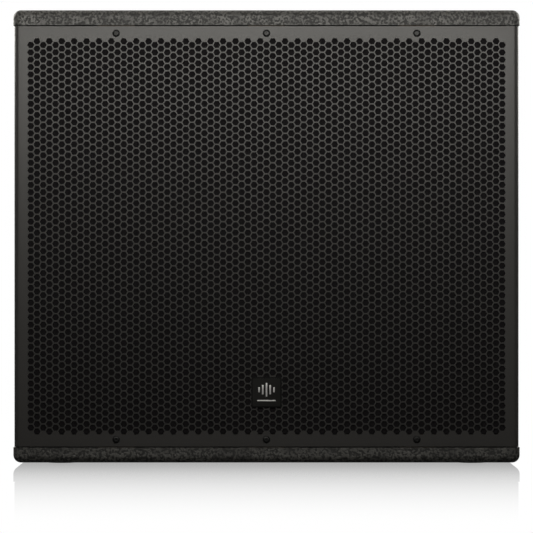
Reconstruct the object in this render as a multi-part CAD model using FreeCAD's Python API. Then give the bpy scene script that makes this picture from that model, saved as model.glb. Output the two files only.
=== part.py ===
import FreeCAD, Part
import math
import os

# Powered 18 inch bass reflex subwoofer for live sound, as a plywood cabinet with
# a steel grille, a long-throw driver, an amplifier module and carrying hardware.
# Millimetres. X runs right as seen from the front, Y from front to back, Z up.
# The origin is the centre of the footprint, on the floor under the feet.

V = FreeCAD.Vector
X_AXIS = V(1, 0, 0)
Y_AXIS = V(0, 1, 0)
Z_AXIS = V(0, 0, 1)

# ---------------------------------------------------------------- driving dimensions
WIDTH = 600.0              # across the top and bottom panels
DEPTH = 620.0
BOX_HEIGHT = 536.0         # cabinet without its feet
FOOT_DROP = 2.0            # how far the feet stand out under the bottom panel
PLY = 18.0                 # birch plywood of every outer panel
SIDE_INSET = 1.8           # side faces stand back from the top and bottom panels' ends
REAR_RECESS = 25.0         # rear panel stands in from the rim
LONG_EDGE_RADIUS = 9.0     # round along the panels' long outer edges
FRONT_EDGE_RADIUS = 8.0
REAR_EDGE_RADIUS = 4.0
FIT = 0.2                  # gap of a loose fit, such as a flange in its rebate
HOLE_GAP = 0.1             # a hole's radius over its screw's

BOTTOM = FOOT_DROP
TOP = BOTTOM + BOX_HEIGHT
FLOOR_Z = BOTTOM + PLY     # inside face of the bottom panel
CEILING_Z = TOP - PLY      # underside of the top panel
MID_Z = (FLOOR_Z + CEILING_Z) / 2
FRONT = -DEPTH / 2
BACK = DEPTH / 2
SIDE_OUT = WIDTH / 2 - SIDE_INSET
SIDE_IN = SIDE_OUT - PLY
REAR_FACE = BACK - REAR_RECESS

# grille
GRILLE_SHEET = 1.5
GRILLE_RECESS = 2.4        # sheet stands back from the panels' front edges
GRILLE_GAP = 1.2           # shadow gap above and below the sheet
GRILLE_BEND = 6.0
GRILLE_RETURN = 25.0       # how far the bent sides reach back
GRILLE_OUT = FRONT + GRILLE_RECESS
GRILLE_IN = GRILLE_OUT + GRILLE_SHEET
GRILLE_BASE = FLOOR_Z + GRILLE_GAP
GRILLE_TOP = CEILING_Z - GRILLE_GAP
GRILLE_SCREW_X = 178.0     # screws stand on the centre line and this far either side
GRILLE_SCREW_EDGE = 8.4    # from the sheet's upper or lower edge
FOAM_THICK = 6.0
BLOCK_TALL = 15.5          # grille fixing blocks
BLOCK_WIDE = 44.0

# small square badge on the grille
BADGE = 36.0
BADGE_THICK = 1.6
BADGE_Z = 85.5

# driver and baffle
BAFFLE_FRONT = -264.0
DRIVER_RADIUS = 231.0      # outside of the basket's flange
CUTOUT_RADIUS = 212.0
BOLT_CIRCLE = 222.0
DRIVER_BOLTS = 8
FLANGE_THICK = 9.0
CONE_TRAVEL = 8.0          # each way
PORT_LEG = 130.0           # leg of each triangular corner port
PORT_WALL = 12.0
PORT_DEEP = 280.0
BRACE_Y = 100.0

# amplifier module, placed by its centre
AMP_WIDE = 340.0
AMP_TALL = 330.0
AMP_PLATE = 3.0
AMP_GASKET = 1.5
AMP_EDGE = 14.0            # ledge of the rear panel under the plate's rim
AMP_Z = MID_Z
CHASSIS_DEEP = 102.0
PLATE_IN = REAR_FACE - AMP_PLATE

# handles, placed by the centre of the cup
HANDLE_Y = -10.0
HANDLE_Z = MID_Z + 6.0
HANDLE_FLANGE_LONG = 238.0
HANDLE_FLANGE_TALL = 140.0
HANDLE_FLANGE = 3.0
HANDLE_CUP_LONG = 200.0
HANDLE_CUP_TALL = 100.0
HANDLE_CUP_DEEP = 60.0
HANDLE_WALL = 3.0
GRIP_RADIUS = 13.5

# pole socket, feet
POLE_Y = -20.0
POLE_BORE = 8.65           # thread minor radius of M20
POLE_DEEP = 50.0
POLE_FLANGE_RADIUS = 34.0
POLE_FLANGE = 4.0
FOOT_RADIUS = 19.0
FOOT_TALL = 10.0
FOOT_X = 245.0
FOOT_Y = 255.0


# ---------------------------------------------------------------- small helpers
def block(x, y, z):
    """A box from three (low, high) pairs."""
    corner = V(min(x), min(y), min(z))
    return Part.makeBox(abs(x[1] - x[0]), abs(y[1] - y[0]), abs(z[1] - z[0]), corner)


def rod(radius, start, end):
    """A cylinder between two points."""
    line = end.sub(start)
    return Part.makeCylinder(radius, line.Length, start, line)


def along_y(radius, x, z, y):
    """A cylinder along Y at (x, z), from the low to the high y."""
    return rod(radius, V(x, min(y), z), V(x, max(y), z))


def turned(profile, x, z, y=0.0, forward=1.0):
    """Revolves closed (radius, depth) points round a Y axis; depth counts from y."""
    points = [V(x + r, y + forward * d, z) for r, d in profile]
    face = Part.Face(Part.makePolygon(points + points[:1]))
    return face.revolve(V(x, y, z), Y_AXIS, 360)


def turned_z(profile, x, y, z):
    """Revolves closed (radius, height) points round a vertical axis."""
    points = [V(x + r, y, z + h) for r, h in profile]
    face = Part.Face(Part.makePolygon(points + points[:1]))
    return face.revolve(V(x, y, z), Z_AXIS, 360)


def prism(points, sweep):
    """Extrudes a closed polygon of points along a vector."""
    return Part.Face(Part.makePolygon(points + points[:1])).extrude(sweep)


def soft_box(x, y, z, radius, axis):
    """A box whose four edges along one axis are rounded."""
    solid = block(x, y, z)
    edges = [e for e in solid.Edges if abs(e.tangentAt(0).dot(axis)) > 0.99]
    return solid.makeFillet(radius, edges)


def join(shapes):
    """One solid from shapes that touch or overlap."""
    fused = shapes[0].fuse(shapes[1:]).removeSplitter()
    return fused


def group(shapes):
    """Separate solids kept together in one node."""
    solids = [s for shape in shapes for s in shape.Solids]
    return Part.makeCompound(solids)


def moved(shape, x=0.0, y=0.0, z=0.0):
    """A copy of a shape, shifted."""
    copy = shape.copy()
    copy.translate(V(x, y, z))
    return copy


def mirrored_x(shape):
    """The shape on the other side of the centre plane."""
    return shape.mirror(V(0, 0, 0), X_AXIS)


def edges_in(shape, x=None, y=None, z=None, tolerance=0.05):
    """Edges whose whole length lies in the given (low, high) ranges."""
    found = []
    for edge in shape.Edges:
        b = edge.BoundBox
        inside = True
        for limits, low, high in ((x, b.XMin, b.XMax), (y, b.YMin, b.YMax), (z, b.ZMin, b.ZMax)):
            if limits is None:
                continue
            if low < limits[0] - tolerance or high > limits[1] + tolerance:
                inside = False
        if inside:
            found.append(edge)
    return found


def screw(shank_radius, length, head_radius, head_tall, style):
    """A cross-head screw whose head stands up from z = 0 and whose shank runs down."""
    tip = shank_radius * 0.9
    if style == "countersunk":
        # the cone sinks below the surface, so the head's flat top is at z = 0
        outline = [(0, 0), (head_radius, 0), (shank_radius, -head_tall),
                   (shank_radius, tip - length), (0, -length)]
        cross_top = 0.0
    else:
        shoulder = head_radius * 0.55
        outline = [(0, head_tall), (shoulder, head_tall), (head_radius * 0.86, head_tall * 0.62),
                   (head_radius, 0), (shank_radius, 0), (shank_radius, tip - length), (0, -length)]
        cross_top = head_tall
    body = turned_z(outline, 0, 0, 0)
    arm = head_radius * 0.5
    slot = head_radius * 0.14
    deep = head_tall * 0.55
    cross = block((-arm, arm), (-slot, slot), (cross_top - deep, cross_top + 1))
    cross = cross.fuse(block((-slot, slot), (-arm, arm), (cross_top - deep, cross_top + 1)))
    return body.cut(cross)


def aimed(shape, place, direction):
    """A copy of a shape built up +Z, turned to point along a direction and put at a place."""
    copy = shape.copy()
    turn = FreeCAD.Rotation(Z_AXIS, direction)
    copy.Placement = FreeCAD.Placement(place, turn)
    return copy


# ---------------------------------------------------------------- plywood carcass
def foot_places():
    return [(sx * FOOT_X, sy * FOOT_Y) for sx in (-1, 1) for sy in (-1, 1)]


def pole_screw_places():
    ring = (POLE_FLANGE_RADIUS + 15.0) / 2
    turns = [math.radians(45 + 90 * k) for k in range(4)]
    return [(ring * math.cos(a), POLE_Y + ring * math.sin(a)) for a in turns]


def end_panel(low, high, outer):
    """A top or bottom panel with its outer edges rounded; outer is the outside height."""
    panel = block((-WIDTH / 2, WIDTH / 2), (FRONT, BACK), (low, high))
    panel = panel.makeFillet(LONG_EDGE_RADIUS, [
        e for e in edges_in(panel, z=(outer, outer)) if abs(e.tangentAt(0).y) > 0.99])
    inner = low if outer == high else high
    for y, radius in ((FRONT, FRONT_EDGE_RADIUS), (BACK, REAR_EDGE_RADIUS)):
        rim = [e for e in edges_in(panel, y=(y, y))
               if not (abs(e.BoundBox.ZMin - inner) < 0.05 and abs(e.BoundBox.ZMax - inner) < 0.05)]
        panel = panel.makeFillet(radius, rim)
    return panel


def make_top_panel():
    panel = end_panel(CEILING_Z, TOP, TOP)
    socket = rod(15.0 + FIT, V(0, POLE_Y, CEILING_Z - 1), V(0, POLE_Y, TOP + 1))
    seat = rod(POLE_FLANGE_RADIUS + FIT, V(0, POLE_Y, TOP - POLE_FLANGE), V(0, POLE_Y, TOP + 1))
    pilots = [rod(2.0 + HOLE_GAP, V(x, y, TOP - 16.5), V(x, y, TOP)) for x, y in pole_screw_places()]
    return panel.cut([socket, seat] + pilots)


def make_bottom_panel():
    panel = end_panel(BOTTOM, FLOOR_Z, BOTTOM)
    cuts = []
    for x, y in foot_places():
        cuts.append(rod(FOOT_RADIUS + FIT, V(x, y, BOTTOM - 1), V(x, y, FOOT_TALL)))
        cuts.append(rod(2.0 + HOLE_GAP, V(x, y, FOOT_TALL - 1), V(x, y, FLOOR_Z - 1)))
    return panel.cut(cuts)


def handle_screw_places():
    long = HANDLE_FLANGE_LONG / 2 - 9.5
    tall = HANDLE_FLANGE_TALL / 2 - 9.5
    corners = [(sy * long, sz * tall) for sy in (-1, 1) for sz in (-1, 1)]
    return [(HANDLE_Y + a, HANDLE_Z + b) for a, b in corners + [(0, tall), (0, -tall)]]


def make_right_side_panel():
    front = GRILLE_IN + FIT
    panel = block((SIDE_IN, SIDE_OUT), (front, BACK), (FLOOR_Z, CEILING_Z))
    panel = panel.makeFillet(REAR_EDGE_RADIUS, edges_in(panel, x=(SIDE_OUT, SIDE_OUT), y=(BACK, BACK)))
    skin = SIDE_OUT - GRILLE_SHEET - FIT
    end = GRILLE_OUT + GRILLE_RETURN + FIT
    panel = panel.cut(block((skin, SIDE_OUT + 1), (front - 1, end), (FLOOR_Z - 1, CEILING_Z + 1)))
    nose = edges_in(panel, x=(skin, skin), y=(front, front))
    panel = panel.makeFillet(GRILLE_BEND - GRILLE_SHEET, nose)
    foam_seat = block((SIDE_IN - 1, SIDE_IN + 4.5), (front - 1, GRILLE_IN + FOAM_THICK + FIT),
                      (FLOOR_Z - 1, CEILING_Z + 1))
    half_long = HANDLE_FLANGE_LONG / 2 + FIT
    half_tall = HANDLE_FLANGE_TALL / 2 + FIT
    seat = soft_box((SIDE_OUT - HANDLE_FLANGE - FIT, SIDE_OUT + 1),
                    (HANDLE_Y - half_long, HANDLE_Y + half_long),
                    (HANDLE_Z - half_tall, HANDLE_Z + half_tall), 20.0 + FIT, X_AXIS)
    through_long = HANDLE_CUP_LONG / 2 + HANDLE_WALL + 0.5
    through_tall = HANDLE_CUP_TALL / 2 + HANDLE_WALL + 0.5
    through = soft_box((SIDE_IN - 1, SIDE_OUT + 1),
                       (HANDLE_Y - through_long, HANDLE_Y + through_long),
                       (HANDLE_Z - through_tall, HANDLE_Z + through_tall), 24.0, X_AXIS)
    pilots = [rod(2.0 + HOLE_GAP, V(SIDE_OUT - 16.5, y, z), V(SIDE_OUT, y, z))
              for y, z in handle_screw_places()]
    return panel.cut([foam_seat, seat, through] + pilots)


def corner_points(leg, y):
    """The triangle of a corner port at the upper right, with its right angle in the corner."""
    return [V(SIDE_IN, y, CEILING_Z), V(SIDE_IN - leg, y, CEILING_Z), V(SIDE_IN, y, CEILING_Z - leg)]


def four_corners(shape):
    """A shape at the upper right corner, and its copies at the other three."""
    low = shape.mirror(V(0, 0, MID_Z), Z_AXIS)
    return [shape, mirrored_x(shape), low, mirrored_x(low)]


def driver_bolt_places(radius=BOLT_CIRCLE):
    turns = [2 * math.pi * (k + 0.5) / DRIVER_BOLTS for k in range(DRIVER_BOLTS)]
    return [(radius * math.cos(a), MID_Z + radius * math.sin(a)) for a in turns]


def make_front_baffle():
    back = BAFFLE_FRONT + PLY
    panel = block((-SIDE_IN, SIDE_IN), (BAFFLE_FRONT, back), (FLOOR_Z, CEILING_Z))
    cuts = [along_y(CUTOUT_RADIUS, 0, MID_Z, (BAFFLE_FRONT - 1, back + 1))]
    mouth = prism(corner_points(PORT_LEG, BAFFLE_FRONT - 1), V(0, PLY + 2, 0))
    cuts += four_corners(mouth)
    cuts += [along_y(2.5 + HOLE_GAP, x, z, (BAFFLE_FRONT - 1, back + 1))
             for x, z in driver_bolt_places()]
    return panel.cut(cuts)


def make_port_panels():
    """Four sloping panels that close the corners into triangular ducts."""
    start = BAFFLE_FRONT + PLY
    outer = corner_points(PORT_LEG, start)
    inner = corner_points(PORT_LEG + PORT_WALL * math.sqrt(2), start)
    wall = prism([outer[1], inner[1], inner[2], outer[2]], V(0, PORT_DEEP, 0))
    return group(four_corners(wall))


def make_window_brace():
    plate = block((-SIDE_IN, SIDE_IN), (BRACE_Y, BRACE_Y + PLY), (FLOOR_Z, CEILING_Z))
    windows = []
    for side in (-1, 1):
        x = sorted((side * 28, side * 205))
        windows.append(soft_box(x, (BRACE_Y - 1, BRACE_Y + PLY + 1),
                                (FLOOR_Z + 62, CEILING_Z - 62), 45.0, Y_AXIS))
    return plate.cut(windows)


def grille_screw_places():
    """(x, z, z of the block's outer face) of each grille screw."""
    high = GRILLE_TOP - GRILLE_SCREW_EDGE
    low = GRILLE_BASE + GRILLE_SCREW_EDGE
    across = (-GRILLE_SCREW_X, 0.0, GRILLE_SCREW_X)
    return [(x, high) for x in across] + [(x, low) for x in across]


def make_grille_blocks():
    """Fixing blocks behind the grille, glued under the top and on the bottom panel."""
    blocks = []
    for x, z in grille_screw_places():
        span = (CEILING_Z - BLOCK_TALL, CEILING_Z) if z > MID_Z else (FLOOR_Z, FLOOR_Z + BLOCK_TALL)
        body = block((x - BLOCK_WIDE / 2, x + BLOCK_WIDE / 2), (GRILLE_IN + FIT, BAFFLE_FRONT), span)
        blocks.append(body.cut(along_y(2.4 + HOLE_GAP, x, z, (GRILLE_IN - 1, GRILLE_IN + 26))))
    return group(blocks)


def amp_screw_places():
    """Twelve screws round the amplifier plate's rim."""
    wide = AMP_WIDE / 2 - 7
    tall = AMP_TALL / 2 - 7
    rows = [(x, AMP_Z + s * tall) for s in (-1, 1) for x in (-wide, -wide / 3, wide / 3, wide)]
    columns = [(s * wide, AMP_Z + z) for s in (-1, 1) for z in (-tall / 3, tall / 3)]
    return rows + columns


def make_rear_panel():
    inner = REAR_FACE - PLY
    panel = block((-SIDE_IN, SIDE_IN), (inner, REAR_FACE), (FLOOR_Z, CEILING_Z))
    wide = AMP_WIDE / 2 + FIT
    tall = AMP_TALL / 2 + FIT
    seat = soft_box((-wide, wide), (REAR_FACE - AMP_PLATE - AMP_GASKET, REAR_FACE + 1),
                    (AMP_Z - tall, AMP_Z + tall), 8.0 + FIT, Y_AXIS)
    hole = block((-AMP_WIDE / 2 + AMP_EDGE, AMP_WIDE / 2 - AMP_EDGE), (inner - 1, REAR_FACE + 1),
                 (AMP_Z - AMP_TALL / 2 + AMP_EDGE, AMP_Z + AMP_TALL / 2 - AMP_EDGE))
    pilots = [along_y(2.4 + HOLE_GAP, x, z, (inner + 1, REAR_FACE)) for x, z in amp_screw_places()]
    return panel.cut([seat, hole] + pilots)


# ---------------------------------------------------------------- front dress
def make_grille():
    """The steel sheet with both sides bent back. Its perforation is left uncut here."""
    half = SIDE_OUT
    end = GRILLE_OUT + GRILLE_RETURN
    outer = block((-half, half), (GRILLE_OUT, end), (GRILLE_BASE, GRILLE_TOP))
    outer = outer.makeFillet(GRILLE_BEND, [
        e for e in edges_in(outer, y=(GRILLE_OUT, GRILLE_OUT)) if abs(e.tangentAt(0).z) > 0.99])
    t = GRILLE_SHEET
    inner = block((-half + t, half - t), (GRILLE_IN, end + 1), (GRILLE_BASE - 1, GRILLE_TOP + 1))
    inner = inner.makeFillet(GRILLE_BEND - t, [
        e for e in edges_in(inner, y=(GRILLE_IN, GRILLE_IN)) if abs(e.tangentAt(0).z) > 0.99])
    holes = [along_y(2.4 + FIT, x, z, (GRILLE_OUT - 1, GRILLE_IN + 1)) for x, z in grille_screw_places()]
    return outer.cut([inner] + holes)


def make_grille_foam():
    wide = SIDE_IN + 4.0
    low = FLOOR_Z + BLOCK_TALL + 0.5
    high = CEILING_Z - BLOCK_TALL - 0.5
    return block((-wide, wide), (GRILLE_IN, GRILLE_IN + FOAM_THICK), (low, high))


def make_grille_screws():
    one = screw(2.4, 24.0, 4.4, 2.2, "pan")
    return group([aimed(one, V(x, GRILLE_OUT, z), V(0, -1, 0)) for x, z in grille_screw_places()])


def make_badge_plate():
    """A square plate on the grille, with a shallow tray for its emblem."""
    half = BADGE / 2
    plate = soft_box((-half, half), (GRILLE_OUT - BADGE_THICK, GRILLE_OUT),
                     (BADGE_Z - half, BADGE_Z + half), 2.0, Y_AXIS)
    return plate.cut(emblem_bars(GRILLE_OUT - BADGE_THICK - 1, 1.0 + 0.5))


def emblem_bars(y, thick):
    """Five upright bars, tallest in the middle, over one thin level bar."""
    pitch = 4.4
    bars = []
    for k, tall in enumerate((6.0, 11.0, 16.0, 11.0, 6.0)):
        x = (k - 2) * pitch
        z = BADGE_Z + 3.0
        bars.append(soft_box((x - 0.9, x + 0.9), (y, y + thick), (z - tall / 2, z + tall / 2), 0.8, Y_AXIS))
    bars.append(block((-11.0, 11.0), (y, y + thick), (BADGE_Z - 10.6, BADGE_Z - 9.2)))
    return bars


def make_badge_emblem():
    return group(emblem_bars(GRILLE_OUT - BADGE_THICK - 0.2, 0.7))


# ---------------------------------------------------------------- driver
# Depths count back from the baffle's front face, radii from the driver's axis.
SURROUND_IN = 192.0
SURROUND_OUT = 213.0
GASKET_THICK = 3.0
CONE_NECK = 50.2
CONE_NECK_DEPTH = 66.0
CONE_EDGE_DEPTH = -6.0
COIL_INNER = 49.6
FORMER_WALL = 0.4
SPIDER_DEPTH = 70.0
SPIDER_OUT = 116.0
MAGNET_FRONT = 124.0


def driver_part(profile):
    return turned(profile, 0, MID_Z, BAFFLE_FRONT)


def make_driver_basket():
    """Cast frame: a flange, eight spokes, the spider's shelf and the magnet plate."""
    shell = driver_part([
        (203, -FLANGE_THICK), (DRIVER_RADIUS, -FLANGE_THICK), (DRIVER_RADIUS, 0), (210, 0),
        (210, 14), (130, 62), (124, 108), (108, MAGNET_FRONT - 10), (108, MAGNET_FRONT - 8),
        (60, MAGNET_FRONT - 8), (60, MAGNET_FRONT - 16), (104, MAGNET_FRONT - 16),
        (116, 104), (118, 80), (106, 80), (106, 74), (122, 74), (122, 58), (198, 12), (203, 8)])
    cuts = [along_y(2.5 + HOLE_GAP, x, z, (BAFFLE_FRONT - FLANGE_THICK - 1, BAFFLE_FRONT + 1))
            for x, z in driver_bolt_places()]
    for k in range(8):
        window = prism([V(142, 0, -26), V(204, 0, -58), V(204, 0, 58), V(142, 0, 26)], V(0, 62, 0))
        window = window.makeFillet(9.0, [e for e in window.Edges if abs(e.tangentAt(0).y) > 0.99])
        window.rotate(V(0, 0, 0), Y_AXIS, 45.0 * k)
        window.translate(V(0, BAFFLE_FRONT + 6, MID_Z))
        cuts.append(window)
        vent = block((112, 140), (0, 24), (-22, 22))
        vent.rotate(V(0, 0, 0), Y_AXIS, 45.0 * k)
        vent.translate(V(0, BAFFLE_FRONT + 84, MID_Z))
        cuts.append(vent)
    return shell.cut(cuts)


def make_driver_gasket():
    ring = driver_part([
        (SURROUND_OUT + 0.2, -FLANGE_THICK - GASKET_THICK), (DRIVER_RADIUS - 1, -FLANGE_THICK - GASKET_THICK),
        (DRIVER_RADIUS - 1, -FLANGE_THICK), (SURROUND_OUT + 0.2, -FLANGE_THICK)])
    front = BAFFLE_FRONT - FLANGE_THICK
    return ring.cut([along_y(5.2, x, z, (front - GASKET_THICK - 1, front + 1))
                     for x, z in driver_bolt_places()])


def make_driver_screws():
    one = screw(2.5, 24.0, 4.8, 3.0, "pan")
    front = BAFFLE_FRONT - FLANGE_THICK
    return group([aimed(one, V(x, front, z), V(0, -1, 0)) for x, z in driver_bolt_places()])


def make_surround():
    """Treated cloth roll with two humps, from the cone's edge to the flange."""
    base = -FLANGE_THICK
    steps = 18
    reach = 10.0
    front = []
    for k in range(steps + 1):
        share = k / steps
        r = SURROUND_IN + 4.0 + (SURROUND_OUT - 6.0 - SURROUND_IN - 4.0) * share
        front.append((r, base - 0.8 - reach * abs(math.sin(2 * math.pi * share)) ** 0.8))
    back = [(r, d + 0.8) for r, d in reversed(front)]
    lip_in = [(SURROUND_IN - 6.0, base - 0.8)]
    lip_out = [(SURROUND_OUT, base - 0.8), (SURROUND_OUT, base)]
    end_in = [(SURROUND_IN - 6.0, base)]
    return driver_part(lip_in + front + lip_out + back + end_in)


def cone_line(radius):
    """Depth of the cone's front face at a radius, along a shallow curve."""
    share = (radius - CONE_NECK) / (SURROUND_IN - CONE_NECK)
    fall = CONE_NECK_DEPTH - CONE_EDGE_DEPTH
    return CONE_NECK_DEPTH - fall * (share + 0.22 * share * (1 - share))


def make_cone():
    """Paper cone 1.4 mm thick, with a flat lip that the surround is glued to."""
    steps = 12
    radii = [CONE_NECK + (SURROUND_IN - 8.0 - CONE_NECK) * k / steps for k in range(steps + 1)]
    front = [(r, cone_line(r)) for r in radii]
    back = [(r, cone_line(r) + 1.6) for r in reversed(radii)]
    edge = [(SURROUND_IN, -FLANGE_THICK), (SURROUND_IN, -FLANGE_THICK + 1.4),
            (SURROUND_IN - 6.5, -FLANGE_THICK + 1.4)]
    lip = [(SURROUND_IN - 7.5, -FLANGE_THICK)]
    return driver_part(front + lip + edge + back)


def make_dust_cap():
    """Paper dome over the voice coil."""
    rim = 66.0
    base = cone_line(rim) - 0.4
    rise = 20.0
    radius = (rim ** 2 + rise ** 2) / (2 * rise)
    steps = 10
    outer = []
    for k in range(steps + 1):
        r = rim * k / steps
        outer.append((r, base + (radius - rise) - math.sqrt(radius ** 2 - r ** 2)))
    inner = [(r, d + 1.0) for r, d in reversed(outer)]
    inner[0] = (rim - 2.2, inner[0][1] - 0.6)
    return driver_part(outer + inner)


def make_voice_coil_former():
    wall = COIL_INNER + FORMER_WALL
    return driver_part([(COIL_INNER, CONE_NECK_DEPTH - 2), (wall, CONE_NECK_DEPTH - 2),
                        (wall, MAGNET_FRONT + 14), (COIL_INNER, MAGNET_FRONT + 14)])


def make_voice_coil():
    wall = COIL_INNER + FORMER_WALL
    return driver_part([(wall, MAGNET_FRONT - 8), (wall + 1.5, MAGNET_FRONT - 8),
                        (wall + 1.5, MAGNET_FRONT + 13), (wall, MAGNET_FRONT + 13)])


def make_spider():
    """Corrugated cloth disc that centres the coil."""
    start = COIL_INNER + FORMER_WALL
    steps = 48
    front = []
    for k in range(steps + 1):
        share = k / steps
        wave = 3.0 * math.sin(2 * math.pi * 6 * share) * math.sin(math.pi * share)
        front.append((start + (SPIDER_OUT - 6.0 - start) * share, SPIDER_DEPTH + 3.0 + wave))
    front.append((SPIDER_OUT, SPIDER_DEPTH + 3.0))
    back = [(r, d + 0.7) for r, d in reversed(front)]
    return driver_part(front + back)


def make_top_plate():
    return driver_part([(52.6, MAGNET_FRONT - 8), (100, MAGNET_FRONT - 8),
                        (100, MAGNET_FRONT + 2), (52.6, MAGNET_FRONT + 2)])


def make_magnet():
    return driver_part([(62, MAGNET_FRONT + 2), (108, MAGNET_FRONT + 2), (110, MAGNET_FRONT + 4),
                        (110, MAGNET_FRONT + 24), (108, MAGNET_FRONT + 26), (62, MAGNET_FRONT + 26)])


def make_back_plate():
    """Steel back plate with the vented pole that stands in the coil."""
    back = MAGNET_FRONT + 26
    return driver_part([(17, MAGNET_FRONT - 8), (48.9, MAGNET_FRONT - 8), (48.9, back), (104, back),
                        (104, back + 9), (96, back + 13), (24, back + 13), (17, back + 8)])


TERMINAL_ANGLE = -22.5     # between two of the basket's vents
TERMINAL_RADIUS = 134.0
TERMINAL_DEPTH = (84.0, 100.0)


def terminal_places():
    """(x, z) of the two wires' ends on the terminal block."""
    turn = math.radians(TERMINAL_ANGLE)
    x = TERMINAL_RADIUS * math.cos(turn)
    z = MID_Z + TERMINAL_RADIUS * math.sin(turn)
    return [(x - 7.0 * s * math.sin(turn), z + 7.0 * s * math.cos(turn)) for s in (-1, 1)]


def make_driver_terminals():
    """Insulating block on the basket's wall with a clamp hole for each wire."""
    near, far = (BAFFLE_FRONT + d for d in TERMINAL_DEPTH)
    body = block((121.5, TERMINAL_RADIUS + 6), (near, far), (-14.0, 14.0))
    body.rotate(V(0, 0, 0), Y_AXIS, -TERMINAL_ANGLE)
    body.translate(V(0, 0, MID_Z))
    holes = [along_y(LEAD_RADIUS + HOLE_GAP, x, z, (far - 8, far + 1)) for x, z in terminal_places()]
    return body.cut([make_driver_basket()] + holes)


# ---------------------------------------------------------------- amplifier module
def amp_z(z):
    """Heights on the amplifier plate are offsets from its centre."""
    return AMP_Z + z


# Where things stand on the plate, as offsets from its centre.
SOCKET_COLUMNS = (-132.0, -88.0)
THIRD_COLUMN = -42.0
INPUT_ROW = 40.0
LINK_ROW = -8.0
MAINS_ROW = -72.0
DISPLAY_X = (-146.0, -64.0)
DISPLAY_Z = (112.0, 142.0)
ENCODER = (-34.0, 124.0)
BUTTONS = ((-136.0, 84.0), (-105.0, 84.0), (-74.0, 84.0))
LEDS = ((-140.0, 101.0), (-118.0, 101.0), (-96.0, 101.0), (-74.0, 101.0))
HEATSINK_X = (8.0, 156.0)
HEATSINK_TALL = 284.0
FIN_DEPTH = 20.0
SOCKET_CAVITY = 9.3
SOCKET_SHELL = 11.8
FLANGE_HALF = (13.0, 15.5)
SOCKET_FLANGE = 1.8


def socket_places():
    """Every round-shelled connector as (name, x, z)."""
    left, right = SOCKET_COLUMNS
    return [("input", left, INPUT_ROW), ("input", right, INPUT_ROW),
            ("link", left, LINK_ROW), ("link", right, LINK_ROW),
            ("network", THIRD_COLUMN, INPUT_ROW), ("mains", left, MAINS_ROW)]


def socket_screw_places():
    places = []
    for _, x, z in socket_places():
        places += [(x - 9.6, z + 12.2), (x + 9.6, z - 12.2)]
    return places


SWITCH_AT = (-70.0, MAINS_ROW)
SWITCH_HALF = (11.0, 15.5)


def make_amp_panel():
    half_w = AMP_WIDE / 2
    half_t = AMP_TALL / 2
    plate = soft_box((-half_w, half_w), (PLATE_IN, REAR_FACE), (AMP_Z - half_t, AMP_Z + half_t), 8.0, Y_AXIS)
    span = (PLATE_IN - 1, REAR_FACE + 1)
    cuts = [along_y(2.4 + FIT, x, z, span) for x, z in amp_screw_places()]
    cuts += [along_y(SOCKET_SHELL + FIT, x, amp_z(z), span) for _, x, z in socket_places()]
    cuts += [along_y(1.2 + HOLE_GAP, x, amp_z(z), span) for x, z in socket_screw_places()]
    cuts += [along_y(4.4 + FIT, x, amp_z(z), span) for x, z in BUTTONS]
    cuts += [along_y(1.5 + HOLE_GAP, x, amp_z(z), span) for x, z in LEDS]
    cuts.append(along_y(3.8, ENCODER[0], amp_z(ENCODER[1]), span))
    x, z = SWITCH_AT
    half = (SWITCH_HALF[0] - 1.4, SWITCH_HALF[1] - 1.4)
    cuts.append(block((x - half[0], x + half[0]), span, (amp_z(z) - half[1], amp_z(z) + half[1])))
    pocket = (REAR_FACE - 1.2, REAR_FACE + 1)
    cuts.append(block((DISPLAY_X[0] - FIT, DISPLAY_X[1] + FIT), pocket,
                      (amp_z(DISPLAY_Z[0]) - FIT, amp_z(DISPLAY_Z[1]) + FIT)))
    return plate.cut(cuts)


def make_amp_gasket():
    half_w = AMP_WIDE / 2
    half_t = AMP_TALL / 2
    span = (PLATE_IN - AMP_GASKET, PLATE_IN)
    ring = soft_box((-half_w, half_w), span, (AMP_Z - half_t, AMP_Z + half_t), 8.0, Y_AXIS)
    hole = block((-half_w + AMP_EDGE, half_w - AMP_EDGE), (PLATE_IN - 3, PLATE_IN + 1),
                 (AMP_Z - half_t + AMP_EDGE, AMP_Z + half_t - AMP_EDGE))
    screws = [along_y(2.4 + FIT, x, z, (PLATE_IN - 3, PLATE_IN + 1)) for x, z in amp_screw_places()]
    return ring.cut([hole] + screws)


def make_amp_screws():
    one = screw(2.4, 15.5, 4.6, 2.6, "pan")
    return group([aimed(one, V(x, REAR_FACE, z), Y_AXIS) for x, z in amp_screw_places()])


def make_heatsink():
    """Extruded comb of upright fins on a flat base."""
    x0, x1 = HEATSINK_X
    base = 5.0
    fins = 16
    fin = 2.4
    pitch = (x1 - x0 - fin) / (fins - 1)
    y0 = REAR_FACE
    low = AMP_Z - HEATSINK_TALL / 2
    points = [V(x0, y0, low), V(x0, y0 + FIN_DEPTH, low)]
    for k in range(fins):
        left = x0 + k * pitch
        if k > 0:
            points += [V(left, y0 + base, low), V(left, y0 + FIN_DEPTH, low)]
        points.append(V(left + fin, y0 + FIN_DEPTH, low))
        if k < fins - 1:
            points.append(V(left + fin, y0 + base, low))
    points.append(V(x1, y0, low))
    return prism(points, V(0, 0, HEATSINK_TALL))


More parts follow.
